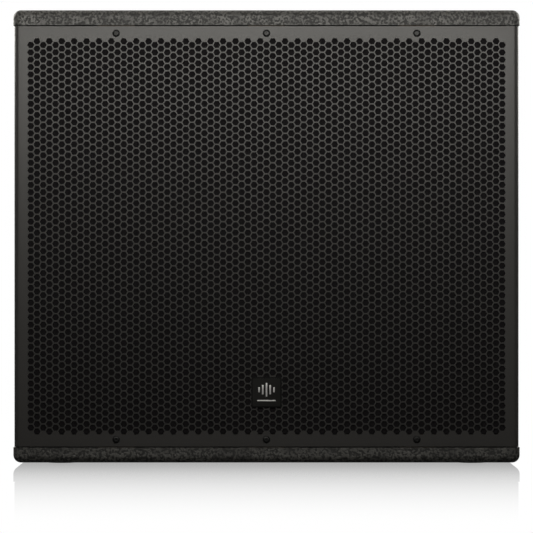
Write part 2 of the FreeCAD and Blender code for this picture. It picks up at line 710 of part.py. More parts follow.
def make_amp_chassis():
    """Folded steel tub that shuts the electronics off from the air in the cabinet."""
    half_w = AMP_WIDE / 2 - AMP_EDGE - 4
    half_t = AMP_TALL / 2 - AMP_EDGE - 4
    back = PLATE_IN - CHASSIS_DEEP
    wall = 1.2
    tub = block((-half_w, half_w), (back, PLATE_IN), (AMP_Z - half_t, AMP_Z + half_t))
    inside = block((-half_w + wall, half_w - wall), (back + wall, PLATE_IN + 1),
                   (AMP_Z - half_t + wall, AMP_Z + half_t - wall))
    bosses = [rod(4.0, V(x, back + wall, amp_z(z)), V(x, BOARD_Y, amp_z(z))) for x, z in BOARD_BOSSES]
    exit_holes = [along_y(2.6, x, LEAD_EXIT_Z, (back - 1, back + wall + 1)) for x in LEAD_X]
    return join([tub.cut([inside] + exit_holes)] + bosses)


BOARD_Y = PLATE_IN - CHASSIS_DEEP + 13.2
BOARD_BOSSES = ((-120.0, -115.0), (120.0, -115.0), (-120.0, 115.0), (120.0, 115.0))
LEAD_X = (96.0, 106.0)
LEAD_EXIT_Z = MID_Z - 70.0


def make_circuit_board():
    span = (BOARD_Y, BOARD_Y + 1.6)
    board = block((-138.0, 138.0), span, (amp_z(-130.0), amp_z(130.0)))
    return board.cut([along_y(1.6, x, amp_z(z), (BOARD_Y - 1, BOARD_Y + 3)) for x, z in BOARD_BOSSES])


def make_board_components():
    """Transformer, reservoir capacitors and output coils standing on the board."""
    y = BOARD_Y + 1.6
    parts = [soft_box((20, 88), (y, y + 52), (amp_z(-104), amp_z(-40)), 4.0, Y_AXIS)]
    for k in range(4):
        x = -8.0 + 38.0 * k
        can = turned([(0, 0), (14.5, 0), (15, 1), (15, 44), (14.2, 45), (0, 45)], x, amp_z(10), y)
        parts.append(can)
    for x in (0.0, 62.0):
        ring = Part.makeTorus(15.0, 7.0, V(x, y + 7.0, amp_z(78)), Y_AXIS)
        parts.append(ring)
    return group(parts)


def make_control_board():
    """Small board behind the plate with the encoder's body and the push switches."""
    y0 = PLATE_IN - 12.0
    board = block((-148.0, -14.0), (y0, y0 + 1.6), (amp_z(74.0), amp_z(144.5)))
    top = y0 + 1.6
    ex, ez = ENCODER
    body = soft_box((ex - 7, ex + 7), (top, PLATE_IN - 1.6), (amp_z(ez) - 7, amp_z(ez) + 7), 1.0, Y_AXIS)
    bushing = along_y(3.6, ex, amp_z(ez), (PLATE_IN - 1.6, REAR_FACE + 2.0))
    cavity = along_y(4.6, ex, amp_z(ez), (top + 0.4, PLATE_IN - 3.0))
    bore = along_y(3.05, ex, amp_z(ez), (PLATE_IN - 4.0, REAR_FACE + 3.0))
    encoder = join([body, bushing]).cut([cavity, bore])
    domes = [along_y(3.0, x, amp_z(z), (top, PLATE_IN - 6.2)) for x, z in BUTTONS]
    posts = [along_y(2.5, x, amp_z(z), (top, PLATE_IN)) for x, z in CONTROL_POSTS]
    return group([board, encoder] + domes + posts)


CONTROL_POSTS = ((-144.0, 91.0), (-20.0, 80.0), (-20.0, 141.0))
ENCODER_CAVITY = PLATE_IN - 12.0 + 1.6 + 0.4
ENCODER_TRAVEL = 1.0
KNOB_BORE_DEEP = 9.0
KNOB_GAP = 0.06


def knob_foot():
    """Y of the knob's open end."""
    return REAR_FACE + 2.0 + ENCODER_TRAVEL + 0.5


def make_encoder_stem():
    """Shaft that carries the knob, with the disc that works the encoder's push switch."""
    y = ENCODER_CAVITY + ENCODER_TRAVEL + 0.4
    disc = along_y(4.3, ENCODER[0], amp_z(ENCODER[1]), (y, y + 1.2))
    shaft = along_y(3.0, ENCODER[0], amp_z(ENCODER[1]), (y, knob_foot() + KNOB_BORE_DEEP - HOLE_GAP))
    return join([disc, shaft])


def make_encoder_knob():
    """Knurled knob that turns on the shaft."""
    ex, ez = ENCODER
    foot = knob_foot()
    knob = turned([(0, 2), (4, 2), (4, 0), (11.5, 0), (11.5, 11), (10.5, 13), (9.4, 13.4), (0, 12.8)],
                  ex, amp_z(ez), foot)
    cuts = [along_y(3.0 + KNOB_GAP, ex, amp_z(ez), (foot, foot + KNOB_BORE_DEEP))]
    for k in range(24):
        turn = 2 * math.pi * k / 24
        x = ex + 11.9 * math.cos(turn)
        z = amp_z(ez) + 11.9 * math.sin(turn)
        cuts.append(along_y(0.75, x, z, (foot + 1.5, foot + 14)))
    cuts.append(block((ex - 0.5, ex + 0.5), (foot + 12.3, foot + 14), (amp_z(ez) + 4.0, amp_z(ez) + 9.0)))
    return knob.cut(cuts)


BUTTON_TRAVEL = 0.8


def make_menu_button(x, z):
    """Round cap with a flange that keeps it behind the plate."""
    rest = PLATE_IN - 6.2 + BUTTON_TRAVEL + 0.3
    return turned([(0, 0), (2.4, 0), (2.4, PLATE_IN - 2.0 - rest), (5.6, PLATE_IN - 2.0 - rest),
                   (5.6, PLATE_IN - 0.4 - rest), (4.4, PLATE_IN - 0.4 - rest),
                   (4.4, REAR_FACE + 1.7 - rest), (4.0, REAR_FACE + 2.1 - rest),
                   (0, REAR_FACE + 2.2 - rest)], x, amp_z(z), rest)


def make_status_leds():
    """Small lamps that stand on the control board and look out through the plate."""
    foot = PLATE_IN - 10.4
    tip = REAR_FACE + 0.8 - foot
    outline = [(0, 0), (0.7, 0), (0.7, 8.0), (1.5, 8.0), (1.5, tip - 1.1), (1.2, tip - 0.5),
               (0.6, tip - 0.1), (0, tip)]
    return group([turned(outline, x, amp_z(z), foot) for x, z in LEDS])


def make_display_window():
    return block(DISPLAY_X, (REAR_FACE - 1.2, REAR_FACE + 0.6), (amp_z(DISPLAY_Z[0]), amp_z(DISPLAY_Z[1])))


def socket_shell(x, z, deep, cavity):
    """Flange and barrel that every panel connector here shares."""
    flange = soft_box((x - FLANGE_HALF[0], x + FLANGE_HALF[0]), (REAR_FACE, REAR_FACE + SOCKET_FLANGE),
                      (z - FLANGE_HALF[1], z + FLANGE_HALF[1]), 4.0, Y_AXIS)
    barrel = along_y(SOCKET_SHELL, x, z, (REAR_FACE - deep, REAR_FACE + 0.5))
    collar = along_y(SOCKET_SHELL - 0.6, x, z, (REAR_FACE, REAR_FACE + SOCKET_FLANGE + 1.0))
    body = join([flange, barrel, collar])
    cuts = [along_y(cavity, x, z, (REAR_FACE - deep + 4.0, REAR_FACE + 4.0))]
    cuts += [along_y(1.2 + HOLE_GAP, x + side * 9.6, z - side * 12.2, (REAR_FACE - 1, REAR_FACE + 3))
             for side in (-1, 1)]
    return body.cut(cuts)


LATCH_HALF = (4.6, 1.7)
LATCH_UP = 13.2
LATCH_TRAVEL = 1.2


def make_input_sockets():
    """Two combination inlets: a ring cavity round a core with a jack hole and three contacts."""
    sockets = []
    for name, x, z in socket_places():
        if name != "input":
            continue
        z = amp_z(z)
        shell = socket_shell(x, z, 24.0, SOCKET_CAVITY)
        tab = block((x - LATCH_HALF[0] - FIT, x + LATCH_HALF[0] + FIT), (REAR_FACE - 1, REAR_FACE + 4),
                    (z + LATCH_UP - LATCH_HALF[1] - FIT, z + LATCH_UP + LATCH_HALF[1] + FIT))
        core = along_y(7.4, x, z, (REAR_FACE - 20.5, REAR_FACE - 1.0))
        holes = [along_y(3.3, x, z, (REAR_FACE - 19.0, REAR_FACE))]
        for turn in (90, 210, 330):
            a = math.radians(turn)
            holes.append(along_y(1.3, x + 5.4 * math.cos(a), z - 5.4 * math.sin(a),
                                 (REAR_FACE - 16.0, REAR_FACE)))
        sockets.append(join([shell.cut(tab), core.cut(holes)]))
    return group(sockets)


def make_input_latch(x, z):
    """Thumb tab over an inlet that frees the plug."""
    z = amp_z(z) + LATCH_UP
    y = REAR_FACE + LATCH_TRAVEL + 0.2
    tab = block((x - LATCH_HALF[0], x + LATCH_HALF[0]), (y, y + 2.2), (z - LATCH_HALF[1], z + LATCH_HALF[1]))
    return tab.makeFillet(0.6, edges_in(tab, y=(y + 2.2, y + 2.2)))


def make_link_sockets():
    """Two three-pin male outlets."""
    sockets = []
    for name, x, z in socket_places():
        if name != "link":
            continue
        z = amp_z(z)
        shell = socket_shell(x, z, 22.0, SOCKET_CAVITY)
        pins = []
        for turn in (90, 210, 330):
            a = math.radians(turn)
            pins.append(along_y(1.2, x + 5.2 * math.cos(a), z - 5.2 * math.sin(a),
                                (REAR_FACE - 19.0, REAR_FACE - 3.0)))
        sockets.append(join([shell] + pins))
    return group(sockets)


def make_network_socket():
    """Eight-way data jack in the same round shell."""
    name, x, z = [p for p in socket_places() if p[0] == "network"][0]
    z = amp_z(z)
    shell = socket_shell(x, z, 22.0, SOCKET_CAVITY)
    insert = along_y(SOCKET_CAVITY + 0.5, x, z, (REAR_FACE - 19.0, REAR_FACE + 1.0))
    mouth = block((x - 6.0, x + 6.0), (REAR_FACE - 15.0, REAR_FACE + 2), (z - 4.2, z + 4.0))
    notch = block((x - 3.0, x + 3.0), (REAR_FACE - 15.0, REAR_FACE + 2), (z - 6.4, z - 4.0))
    return join([shell, insert]).cut([mouth, notch])


def make_mains_inlet():
    """Locking mains inlet: a keyed core in a round cavity."""
    name, x, z = [p for p in socket_places() if p[0] == "mains"][0]
    z = amp_z(z)
    shell = socket_shell(x, z, 26.0, 10.6)
    core = along_y(4.6, x, z, (REAR_FACE - 22.5, REAR_FACE - 1.5))
    slots = [block((x - 3.0, x + 3.0), (REAR_FACE - 14.0, REAR_FACE), (z + s - 0.5, z + s + 0.5))
             for s in (-2.0, 0.0, 2.0)]
    keys = [block((x - 1.2, x + 1.2), (REAR_FACE - 22.5, REAR_FACE - 2.0), (z + 9.2, z + 11.0))]
    return join([shell, core.cut(slots)] + keys)


def make_connector_screws():
    one = screw(1.2, 7.0, 2.3, 1.3, "pan")
    y = REAR_FACE + SOCKET_FLANGE
    return group([aimed(one, V(x, y, amp_z(z)), Y_AXIS) for x, z in socket_screw_places()])


ROCKER_HALF = (7.2, 11.2)
ROCKER_REST = -10.0        # leans to its off side at rest
ROCKER_TURN = 20.0
ROCKER_AXIS_Y = REAR_FACE - 5.0


def make_mains_switch_frame():
    x, z = SWITCH_AT
    z = amp_z(z)
    w, t = SWITCH_HALF
    bezel = soft_box((x - w, x + w), (REAR_FACE, REAR_FACE + 1.8), (z - t, z + t), 1.5, Y_AXIS)
    body = block((x - w + 1.6, x + w - 1.6), (REAR_FACE - 24, REAR_FACE + 0.5), (z - t + 1.6, z + t - 1.6))
    well = block((x - ROCKER_HALF[0] - 0.4, x + ROCKER_HALF[0] + 0.4), (REAR_FACE - 15, REAR_FACE + 3),
                 (z - ROCKER_HALF[1] - 0.8, z + ROCKER_HALF[1] + 0.8))
    guards = [block((x + s * (w - 0.9) - 0.9, x + s * (w - 0.9) + 0.9), (REAR_FACE + 1.0, REAR_FACE + 5.0),
                    (z - t + 2, z + t - 2)) for s in (-1, 1)]
    axle = rod(1.3, V(x - w + 2, ROCKER_AXIS_Y, z), V(x + w - 2, ROCKER_AXIS_Y, z))
    return join([join([bezel, body] + guards).cut(well), axle])


def make_mains_rocker():
    """Rocker with a hollow face, turning on the frame's axle."""
    x, z = SWITCH_AT
    z = amp_z(z)
    w, t = ROCKER_HALF
    y = ROCKER_AXIS_Y
    face = block((x - w, x + w), (y - 4.5, y + 8.5), (z - t, z + t))
    dish = rod(34.0, V(x - w - 1, y + 40.6, z), V(x + w + 1, y + 40.6, z))
    round_off = rod(t + 0.3, V(x - w, y, z), V(x + w, y, z))
    bore = rod(1.3 + 0.06, V(x - w - 1, y, z), V(x + w + 1, y, z))
    rocker = face.cut([dish, bore]).common(round_off)
    rocker.rotate(V(x, y, z), X_AXIS, ROCKER_REST)
    return rocker


# ---------------------------------------------------------------- handles, pole socket, feet
def make_right_handle_cup():
    """Moulded dish with a flange that lies flush in the side panel."""
    long = HANDLE_FLANGE_LONG / 2
    tall = HANDLE_FLANGE_TALL / 2
    face = SIDE_OUT - FIT
    flange = soft_box((face - HANDLE_FLANGE, face), (HANDLE_Y - long, HANDLE_Y + long),
                      (HANDLE_Z - tall, HANDLE_Z + tall), 20.0, X_AXIS)
    cup_long = HANDLE_CUP_LONG / 2
    cup_tall = HANDLE_CUP_TALL / 2
    t = HANDLE_WALL
    outer = soft_box((face - HANDLE_CUP_DEEP - t, face - 1),
                     (HANDLE_Y - cup_long - t, HANDLE_Y + cup_long + t),
                     (HANDLE_Z - cup_tall - t, HANDLE_Z + cup_tall + t), 23.0, X_AXIS)
    outer = outer.makeFillet(12.0, edges_in(outer, x=(face - HANDLE_CUP_DEEP - t,) * 2))
    inner = soft_box((face - HANDLE_CUP_DEEP, face + 1), (HANDLE_Y - cup_long, HANDLE_Y + cup_long),
                     (HANDLE_Z - cup_tall, HANDLE_Z + cup_tall), 20.0, X_AXIS)
    inner = inner.makeFillet(9.0, edges_in(inner, x=(face - HANDLE_CUP_DEEP,) * 2))
    dish = join([flange, outer]).cut(inner)
    holes = [rod(2.0 + FIT, V(face - 6, y, z), V(face + 1, y, z)) for y, z in handle_screw_places()]
    sinks = [Part.makeCone(2.0 + FIT, 4.4 + FIT, 2.4, V(face - 2.4, y, z), X_AXIS)
             for y, z in handle_screw_places()]
    return dish.cut(holes + sinks)


def make_right_handle_grip():
    """Grip bar between the dish's ends, with finger ribs under a rubber-like sleeve."""
    half = HANDLE_CUP_LONG / 2
    x = SIDE_OUT - FIT - GRIP_RADIUS - 5.0
    r = GRIP_RADIUS
    outline = [(0, -half), (r - 3.5, -half), (r - 3.5, -half + 7), (r, -half + 10)]
    ribs = 12
    pitch = (2 * half - 20) / ribs
    for k in range(ribs):
        start = -half + 10 + k * pitch
        outline += [(r, start + pitch * 0.7), (r - 0.7, start + pitch * 0.78), (r - 0.7, start + pitch * 0.94)]
        outline.append((r, start + pitch))
    outline += [(r - 3.5, half - 7), (r - 3.5, half), (0, half)]
    return turned(outline, x, HANDLE_Z, HANDLE_Y)


def make_pole_socket():
    """Flanged steel socket for a threaded satellite pole, shut at its foot."""
    flange = POLE_FLANGE_RADIUS
    foot = -POLE_DEEP - 8.0
    body = turned_z([(0, foot), (13, foot), (15, foot + 2), (15, -POLE_FLANGE), (flange, -POLE_FLANGE),
                     (flange, -0.8), (flange - 0.8, 0), (POLE_BORE + 1.2, 0), (POLE_BORE, -1.2),
                     (POLE_BORE, -POLE_DEEP), (0, -POLE_DEEP)], 0, POLE_Y, TOP)
    holes = [rod(2.0 + FIT, V(x, y, TOP - 6), V(x, y, TOP + 1)) for x, y in pole_screw_places()]
    sinks = [Part.makeCone(2.0 + FIT, 4.4 + FIT, 2.4, V(x, y, TOP - 2.4), Z_AXIS)
             for x, y in pole_screw_places()]
    return body.cut(holes + sinks)


def make_rubber_feet():
    foot = turned_z([(4.8, 0), (FOOT_RADIUS - 1.5, 0), (FOOT_RADIUS, 1.5), (FOOT_RADIUS, FOOT_TALL),
                     (2.0 + FIT, FOOT_TALL), (2.0 + FIT, 6.0), (4.8, 3.4)], 0, 0, 0)
    return group([moved(foot, x, y, 0) for x, y in foot_places()])


def make_countersunk_screws():
    """Wood screws of one size for the handles, the pole socket and the feet."""
    one = screw(2.0, 15.0, 4.4, 2.4, "countersunk")
    short = screw(2.0, 13.0, 4.4, 2.4, "countersunk")
    face = SIDE_OUT - FIT
    right = [aimed(one, V(face, y, z), X_AXIS) for y, z in handle_screw_places()]
    left = [aimed(one, V(-face, y, z), V(-1, 0, 0)) for y, z in handle_screw_places()]
    pole = [aimed(one, V(x, y, TOP), Z_AXIS) for x, y in pole_screw_places()]
    feet = [aimed(short, V(x, y, 3.5), V(0, 0, -1)) for x, y in foot_places()]
    return group(right + left + pole + feet)


# ---------------------------------------------------------------- soft and loose insides
LEAD_RADIUS = 2.2


def rounded_path(points):
    """Straight runs joined by tangent arcs as large as the runs allow, with the arcs' radii."""
    edges = []
    radii = []
    start = points[0]
    for before, corner, after in zip(points, points[1:], points[2:]):
        a = before.sub(corner)
        b = after.sub(corner)
        turn = math.pi - a.getAngle(b)
        reach = 0.45 * min(a.Length, b.Length)
        radius = reach / math.tan(turn / 2)
        a.normalize()
        b.normalize()
        first = corner.add(V(a).multiply(reach))
        last = corner.add(V(b).multiply(reach))
        inward = a.add(b).normalize()
        centre = corner.add(V(inward).multiply(radius / math.cos(turn / 2)))
        crown = centre.sub(V(inward).multiply(radius))
        edges.append(Part.LineSegment(start, first).toShape())
        edges.append(Part.Arc(first, crown, last).toShape())
        radii.append(radius)
        start = last
    edges.append(Part.LineSegment(start, points[-1]).toShape())
    return Part.Wire(edges), radii


def make_speaker_leads():
    """Two insulated wires from the amplifier's board to the driver's terminals."""
    leads = []
    end = BAFFLE_FRONT + TERMINAL_DEPTH[1]
    low = LEAD_EXIT_Z
    for x, (tx, tz) in zip(LEAD_X, terminal_places()):
        route = [V(x, BOARD_Y, low), V(x, 145, low), V(x + 1, 95, low - 9), V(x + 5, 43, low - 21),
                 V(x + 11, -9, low - 24), V(tx - 4, -62, tz - 34), V(tx, -116, tz), V(tx, end - 7.6, tz)]
        path, radii = rounded_path(route)
        ring = Part.Wire(Part.makeCircle(LEAD_RADIUS, route[0], route[1].sub(route[0])))
        lead = path.makePipeShell([ring], True, False)
        expected = math.pi * LEAD_RADIUS ** 2 * path.Length
        print("lead radii", [round(r) for r in radii], "volume ratio", round(lead.Volume / expected, 4))
        leads.append(lead)
    return group(leads)


def make_damping_mats():
    """Two polyester mats on the side walls, behind the brace."""
    y = (BRACE_Y + PLY + 6, REAR_FACE - PLY - 6)
    mat = block((SIDE_IN - 28, SIDE_IN), y, (FLOOR_Z + 40, CEILING_Z - 40))
    return group([mat, mirrored_x(mat)])


# ---------------------------------------------------------------- all nodes
def build():
    right_side = make_right_side_panel()
    right_cup = make_right_handle_cup()
    right_grip = make_right_handle_grip()
    nodes = {
        "top_panel": make_top_panel(),
        "bottom_panel": make_bottom_panel(),
        "right_side_panel": right_side,
        "left_side_panel": mirrored_x(right_side),
        "rear_panel": make_rear_panel(),
        "front_baffle": make_front_baffle(),
        "port_panels": make_port_panels(),
        "window_brace": make_window_brace(),
        "grille_blocks": make_grille_blocks(),
        "grille": make_grille(),
        "grille_foam": make_grille_foam(),
        "grille_screws": make_grille_screws(),
        "badge_plate": make_badge_plate(),
        "badge_emblem": make_badge_emblem(),
        "driver_basket": make_driver_basket(),
        "driver_gasket": make_driver_gasket(),
        "driver_screws": make_driver_screws(),
        "driver_terminals": make_driver_terminals(),
        "surround": make_surround(),
        "cone": make_cone(),
        "dust_cap": make_dust_cap(),
        "voice_coil_former": make_voice_coil_former(),
        "voice_coil": make_voice_coil(),
        "spider": make_spider(),
        "top_plate": make_top_plate(),
        "magnet": make_magnet(),
        "back_plate": make_back_plate(),
        "amp_panel": make_amp_panel(),
        "amp_gasket": make_amp_gasket(),
        "amp_screws": make_amp_screws(),
        "heatsink": make_heatsink(),
        "amp_chassis": make_amp_chassis(),
        "circuit_board": make_circuit_board(),
        "board_components": make_board_components(),
        "control_board": make_control_board(),
        "encoder_stem": make_encoder_stem(),
        "encoder_knob": make_encoder_knob(),
        "status_leds": make_status_leds(),
        "display_window": make_display_window(),
        "input_sockets": make_input_sockets(),
        "link_sockets": make_link_sockets(),
        "network_socket": make_network_socket(),
        "mains_inlet": make_mains_inlet(),
        "connector_screws": make_connector_screws(),
        "mains_switch_frame": make_mains_switch_frame(),
        "mains_rocker": make_mains_rocker(),
        "right_handle_cup": right_cup,
        "left_handle_cup": mirrored_x(right_cup),
        "right_handle_grip": right_grip,
        "left_handle_grip": mirrored_x(right_grip),
        "pole_socket": make_pole_socket(),
        "rubber_feet": make_rubber_feet(),
        "countersunk_screws": make_countersunk_screws(),
        "speaker_leads": make_speaker_leads(),
        "damping_mats": make_damping_mats(),
    }
    for number, (x, z) in enumerate(BUTTONS, 1):
        nodes[f"menu_button_{number}"] = make_menu_button(x, z)
    inputs = [(x, z) for name, x, z in socket_places() if name == "input"]
    for number, (x, z) in enumerate(inputs, 1):
        nodes[f"input_latch_{number}"] = make_input_latch(x, z)
    return nodes


def main():
    os.makedirs("parts", exist_ok=True)
    for name, shape in sorted(build().items()):
        solids = shape.Solids
        if not solids or not all(s.isValid() and s.Volume > 0 for s in solids):
            raise ValueError(f"{name} is not made of closed solids")
        shape = solids[0] if len(solids) == 1 else Part.makeCompound(solids)
        shape.exportStep(os.path.join("parts", name + ".step"))
        print(name, len(solids), round(shape.Volume / 1000, 2), "cm3")


main()
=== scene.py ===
"""Looks of a powered subwoofer cabinet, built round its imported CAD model."""

import logging
import math
from collections.abc import Callable, Iterable, Sequence
from dataclasses import dataclass, field
from enum import Enum
from functools import cache

import bmesh
import bpy
from mathutils import Matrix, Vector, noise


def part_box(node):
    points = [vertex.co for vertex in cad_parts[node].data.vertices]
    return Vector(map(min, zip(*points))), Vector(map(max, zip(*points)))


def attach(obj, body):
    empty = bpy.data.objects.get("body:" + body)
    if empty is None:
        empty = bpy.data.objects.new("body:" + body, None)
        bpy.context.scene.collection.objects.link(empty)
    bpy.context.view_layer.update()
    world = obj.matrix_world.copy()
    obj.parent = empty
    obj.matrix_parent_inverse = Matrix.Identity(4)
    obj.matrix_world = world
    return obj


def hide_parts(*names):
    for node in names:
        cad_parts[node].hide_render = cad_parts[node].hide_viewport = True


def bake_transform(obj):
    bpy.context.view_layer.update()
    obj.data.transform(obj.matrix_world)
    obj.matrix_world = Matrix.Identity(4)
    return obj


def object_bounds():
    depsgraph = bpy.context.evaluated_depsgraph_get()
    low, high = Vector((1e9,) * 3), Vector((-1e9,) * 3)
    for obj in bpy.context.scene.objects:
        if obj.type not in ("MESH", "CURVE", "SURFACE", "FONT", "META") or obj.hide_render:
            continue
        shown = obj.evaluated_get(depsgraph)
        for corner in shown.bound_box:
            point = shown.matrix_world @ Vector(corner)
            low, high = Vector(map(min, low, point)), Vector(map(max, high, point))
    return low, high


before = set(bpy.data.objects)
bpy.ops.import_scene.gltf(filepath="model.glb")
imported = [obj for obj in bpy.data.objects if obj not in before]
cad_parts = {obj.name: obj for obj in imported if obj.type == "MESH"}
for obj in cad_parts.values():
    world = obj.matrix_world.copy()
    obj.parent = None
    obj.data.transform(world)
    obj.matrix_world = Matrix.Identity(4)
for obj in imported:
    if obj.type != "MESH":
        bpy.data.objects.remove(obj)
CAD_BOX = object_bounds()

MM = 0.001
Colour = tuple[float, float, float]
Socket = bpy.types.NodeSocket
Sockets = bpy.types.bpy_prop_collection
log = logging.getLogger("subwoofer")


# ------------------------------------------------------------------ measures from the frame
@dataclass(frozen=True)
class Extent:
    """The box that a CAD node fills at rest, in metres."""

    low: Vector
    high: Vector

    @classmethod
    def of(cls, node: str) -> "Extent":
        """The extent of a CAD node by its name."""
        low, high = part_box(node)
        return cls(low, high)

    @property
    def centre(self) -> Vector:
        """The middle of the box."""
        return (self.low + self.high) / 2

    @property
    def size(self) -> Vector:
        """The box's three lengths."""
        return self.high - self.low


# ------------------------------------------------------------------ shader building blocks
class Graph:
    """A thin wrapper that adds and wires nodes in one node tree."""

    def __init__(self, tree: bpy.types.NodeTree) -> None:
        """Keeps the tree that the other methods add to."""
        self.tree = tree

    def add(self, kind: str, links: dict[str | int, Socket] | None = None,
            values: dict[str | int, object] | None = None, **settings: object) -> bpy.types.Node:
        """Adds one node.

        Args:
            kind: The node's type name, without the leading ShaderNode.
            links: Input name or index to the output socket that feeds it.
            values: Input name or index to its fixed value.
            settings: Attributes set on the node itself.

        Returns:
            The new node.
        """
        node = self.tree.nodes.new("ShaderNode" + kind)
        for name, value in settings.items():
            setattr(node, name, value)
        for key, value in (values or {}).items():
            node.inputs[key].default_value = value
        for key, socket in (links or {}).items():
            self.tree.links.new(socket, node.inputs[key])
        return node

    def math(self, operation: str, first: Socket | float, second: Socket | float = 0.0,
             clamp: bool = False) -> Socket:
        """Applies a Math node to sockets or numbers.

        Args:
            operation: The Math node's operation.
            first: Its first operand.
            second: Its second operand.
            clamp: Whether the result is held between 0 and 1.

        Returns:
            The result's socket.
        """
        node = self.add("Math", operation=operation, use_clamp=clamp)
        for index, operand in enumerate((first, second)):
            if isinstance(operand, (int, float)):
                node.inputs[index].default_value = operand
            else:
                self.tree.links.new(operand, node.inputs[index])
        return node.outputs[0]

    def ramp(self, factor: Socket, low: float, high: float,
             start: float = 0.0, end: float = 1.0) -> Socket:
        """Maps one range to another, held at both ends.

        Args:
            factor: What is mapped.
            low: The factor that gives start.
            high: The factor that gives end.
            start: The result at low.
            end: The result at high.

        Returns:
            The result's socket.
        """
        node = self.add("MapRange", {"Value": factor}, {
            "From Min": low, "From Max": high, "To Min": start, "To Max": end})
        return node.outputs["Result"]

    def noise(self, vector: Socket, scale: Socket | float, detail: float = 3.0,
              roughness: float = 0.55) -> Socket:
        """Adds a noise texture.

        Args:
            vector: Where it is read.
            scale: How fine it is, in cycles per metre.
            detail: How many finer layers it has.
            roughness: How strong the finer layers are.

        Returns:
            The noise factor's socket.
        """
        node = self.add("TexNoise", {"Vector": vector}, {"Detail": detail, "Roughness": roughness})
        if isinstance(scale, (int, float)):
            node.inputs["Scale"].default_value = scale
        else:
            self.tree.links.new(scale, node.inputs["Scale"])
        return node.outputs["Fac"]


class Texture(Enum):
    """The surface patterns that finishes choose from; each names a method of Pattern."""

    PEBBLE = "pebble"          # coarse rolled paint, lighter on its lumps and darker in its hollows as painted highlight and painted shade
    GRAIN = "grain"            # powder coat and moulded plastic
    BRUSHED = "brushed"        # ground or drawn metal
    WEAVE = "weave"            # cloth
    FIBRE = "fibre"            # paper pulp and wadding
    PORES = "pores"            # open foam
    PLY = "ply"                # plywood's layers
    WINDING = "winding"        # close-wound wire
    TRACES = "traces"          # copper tracks under solder mask


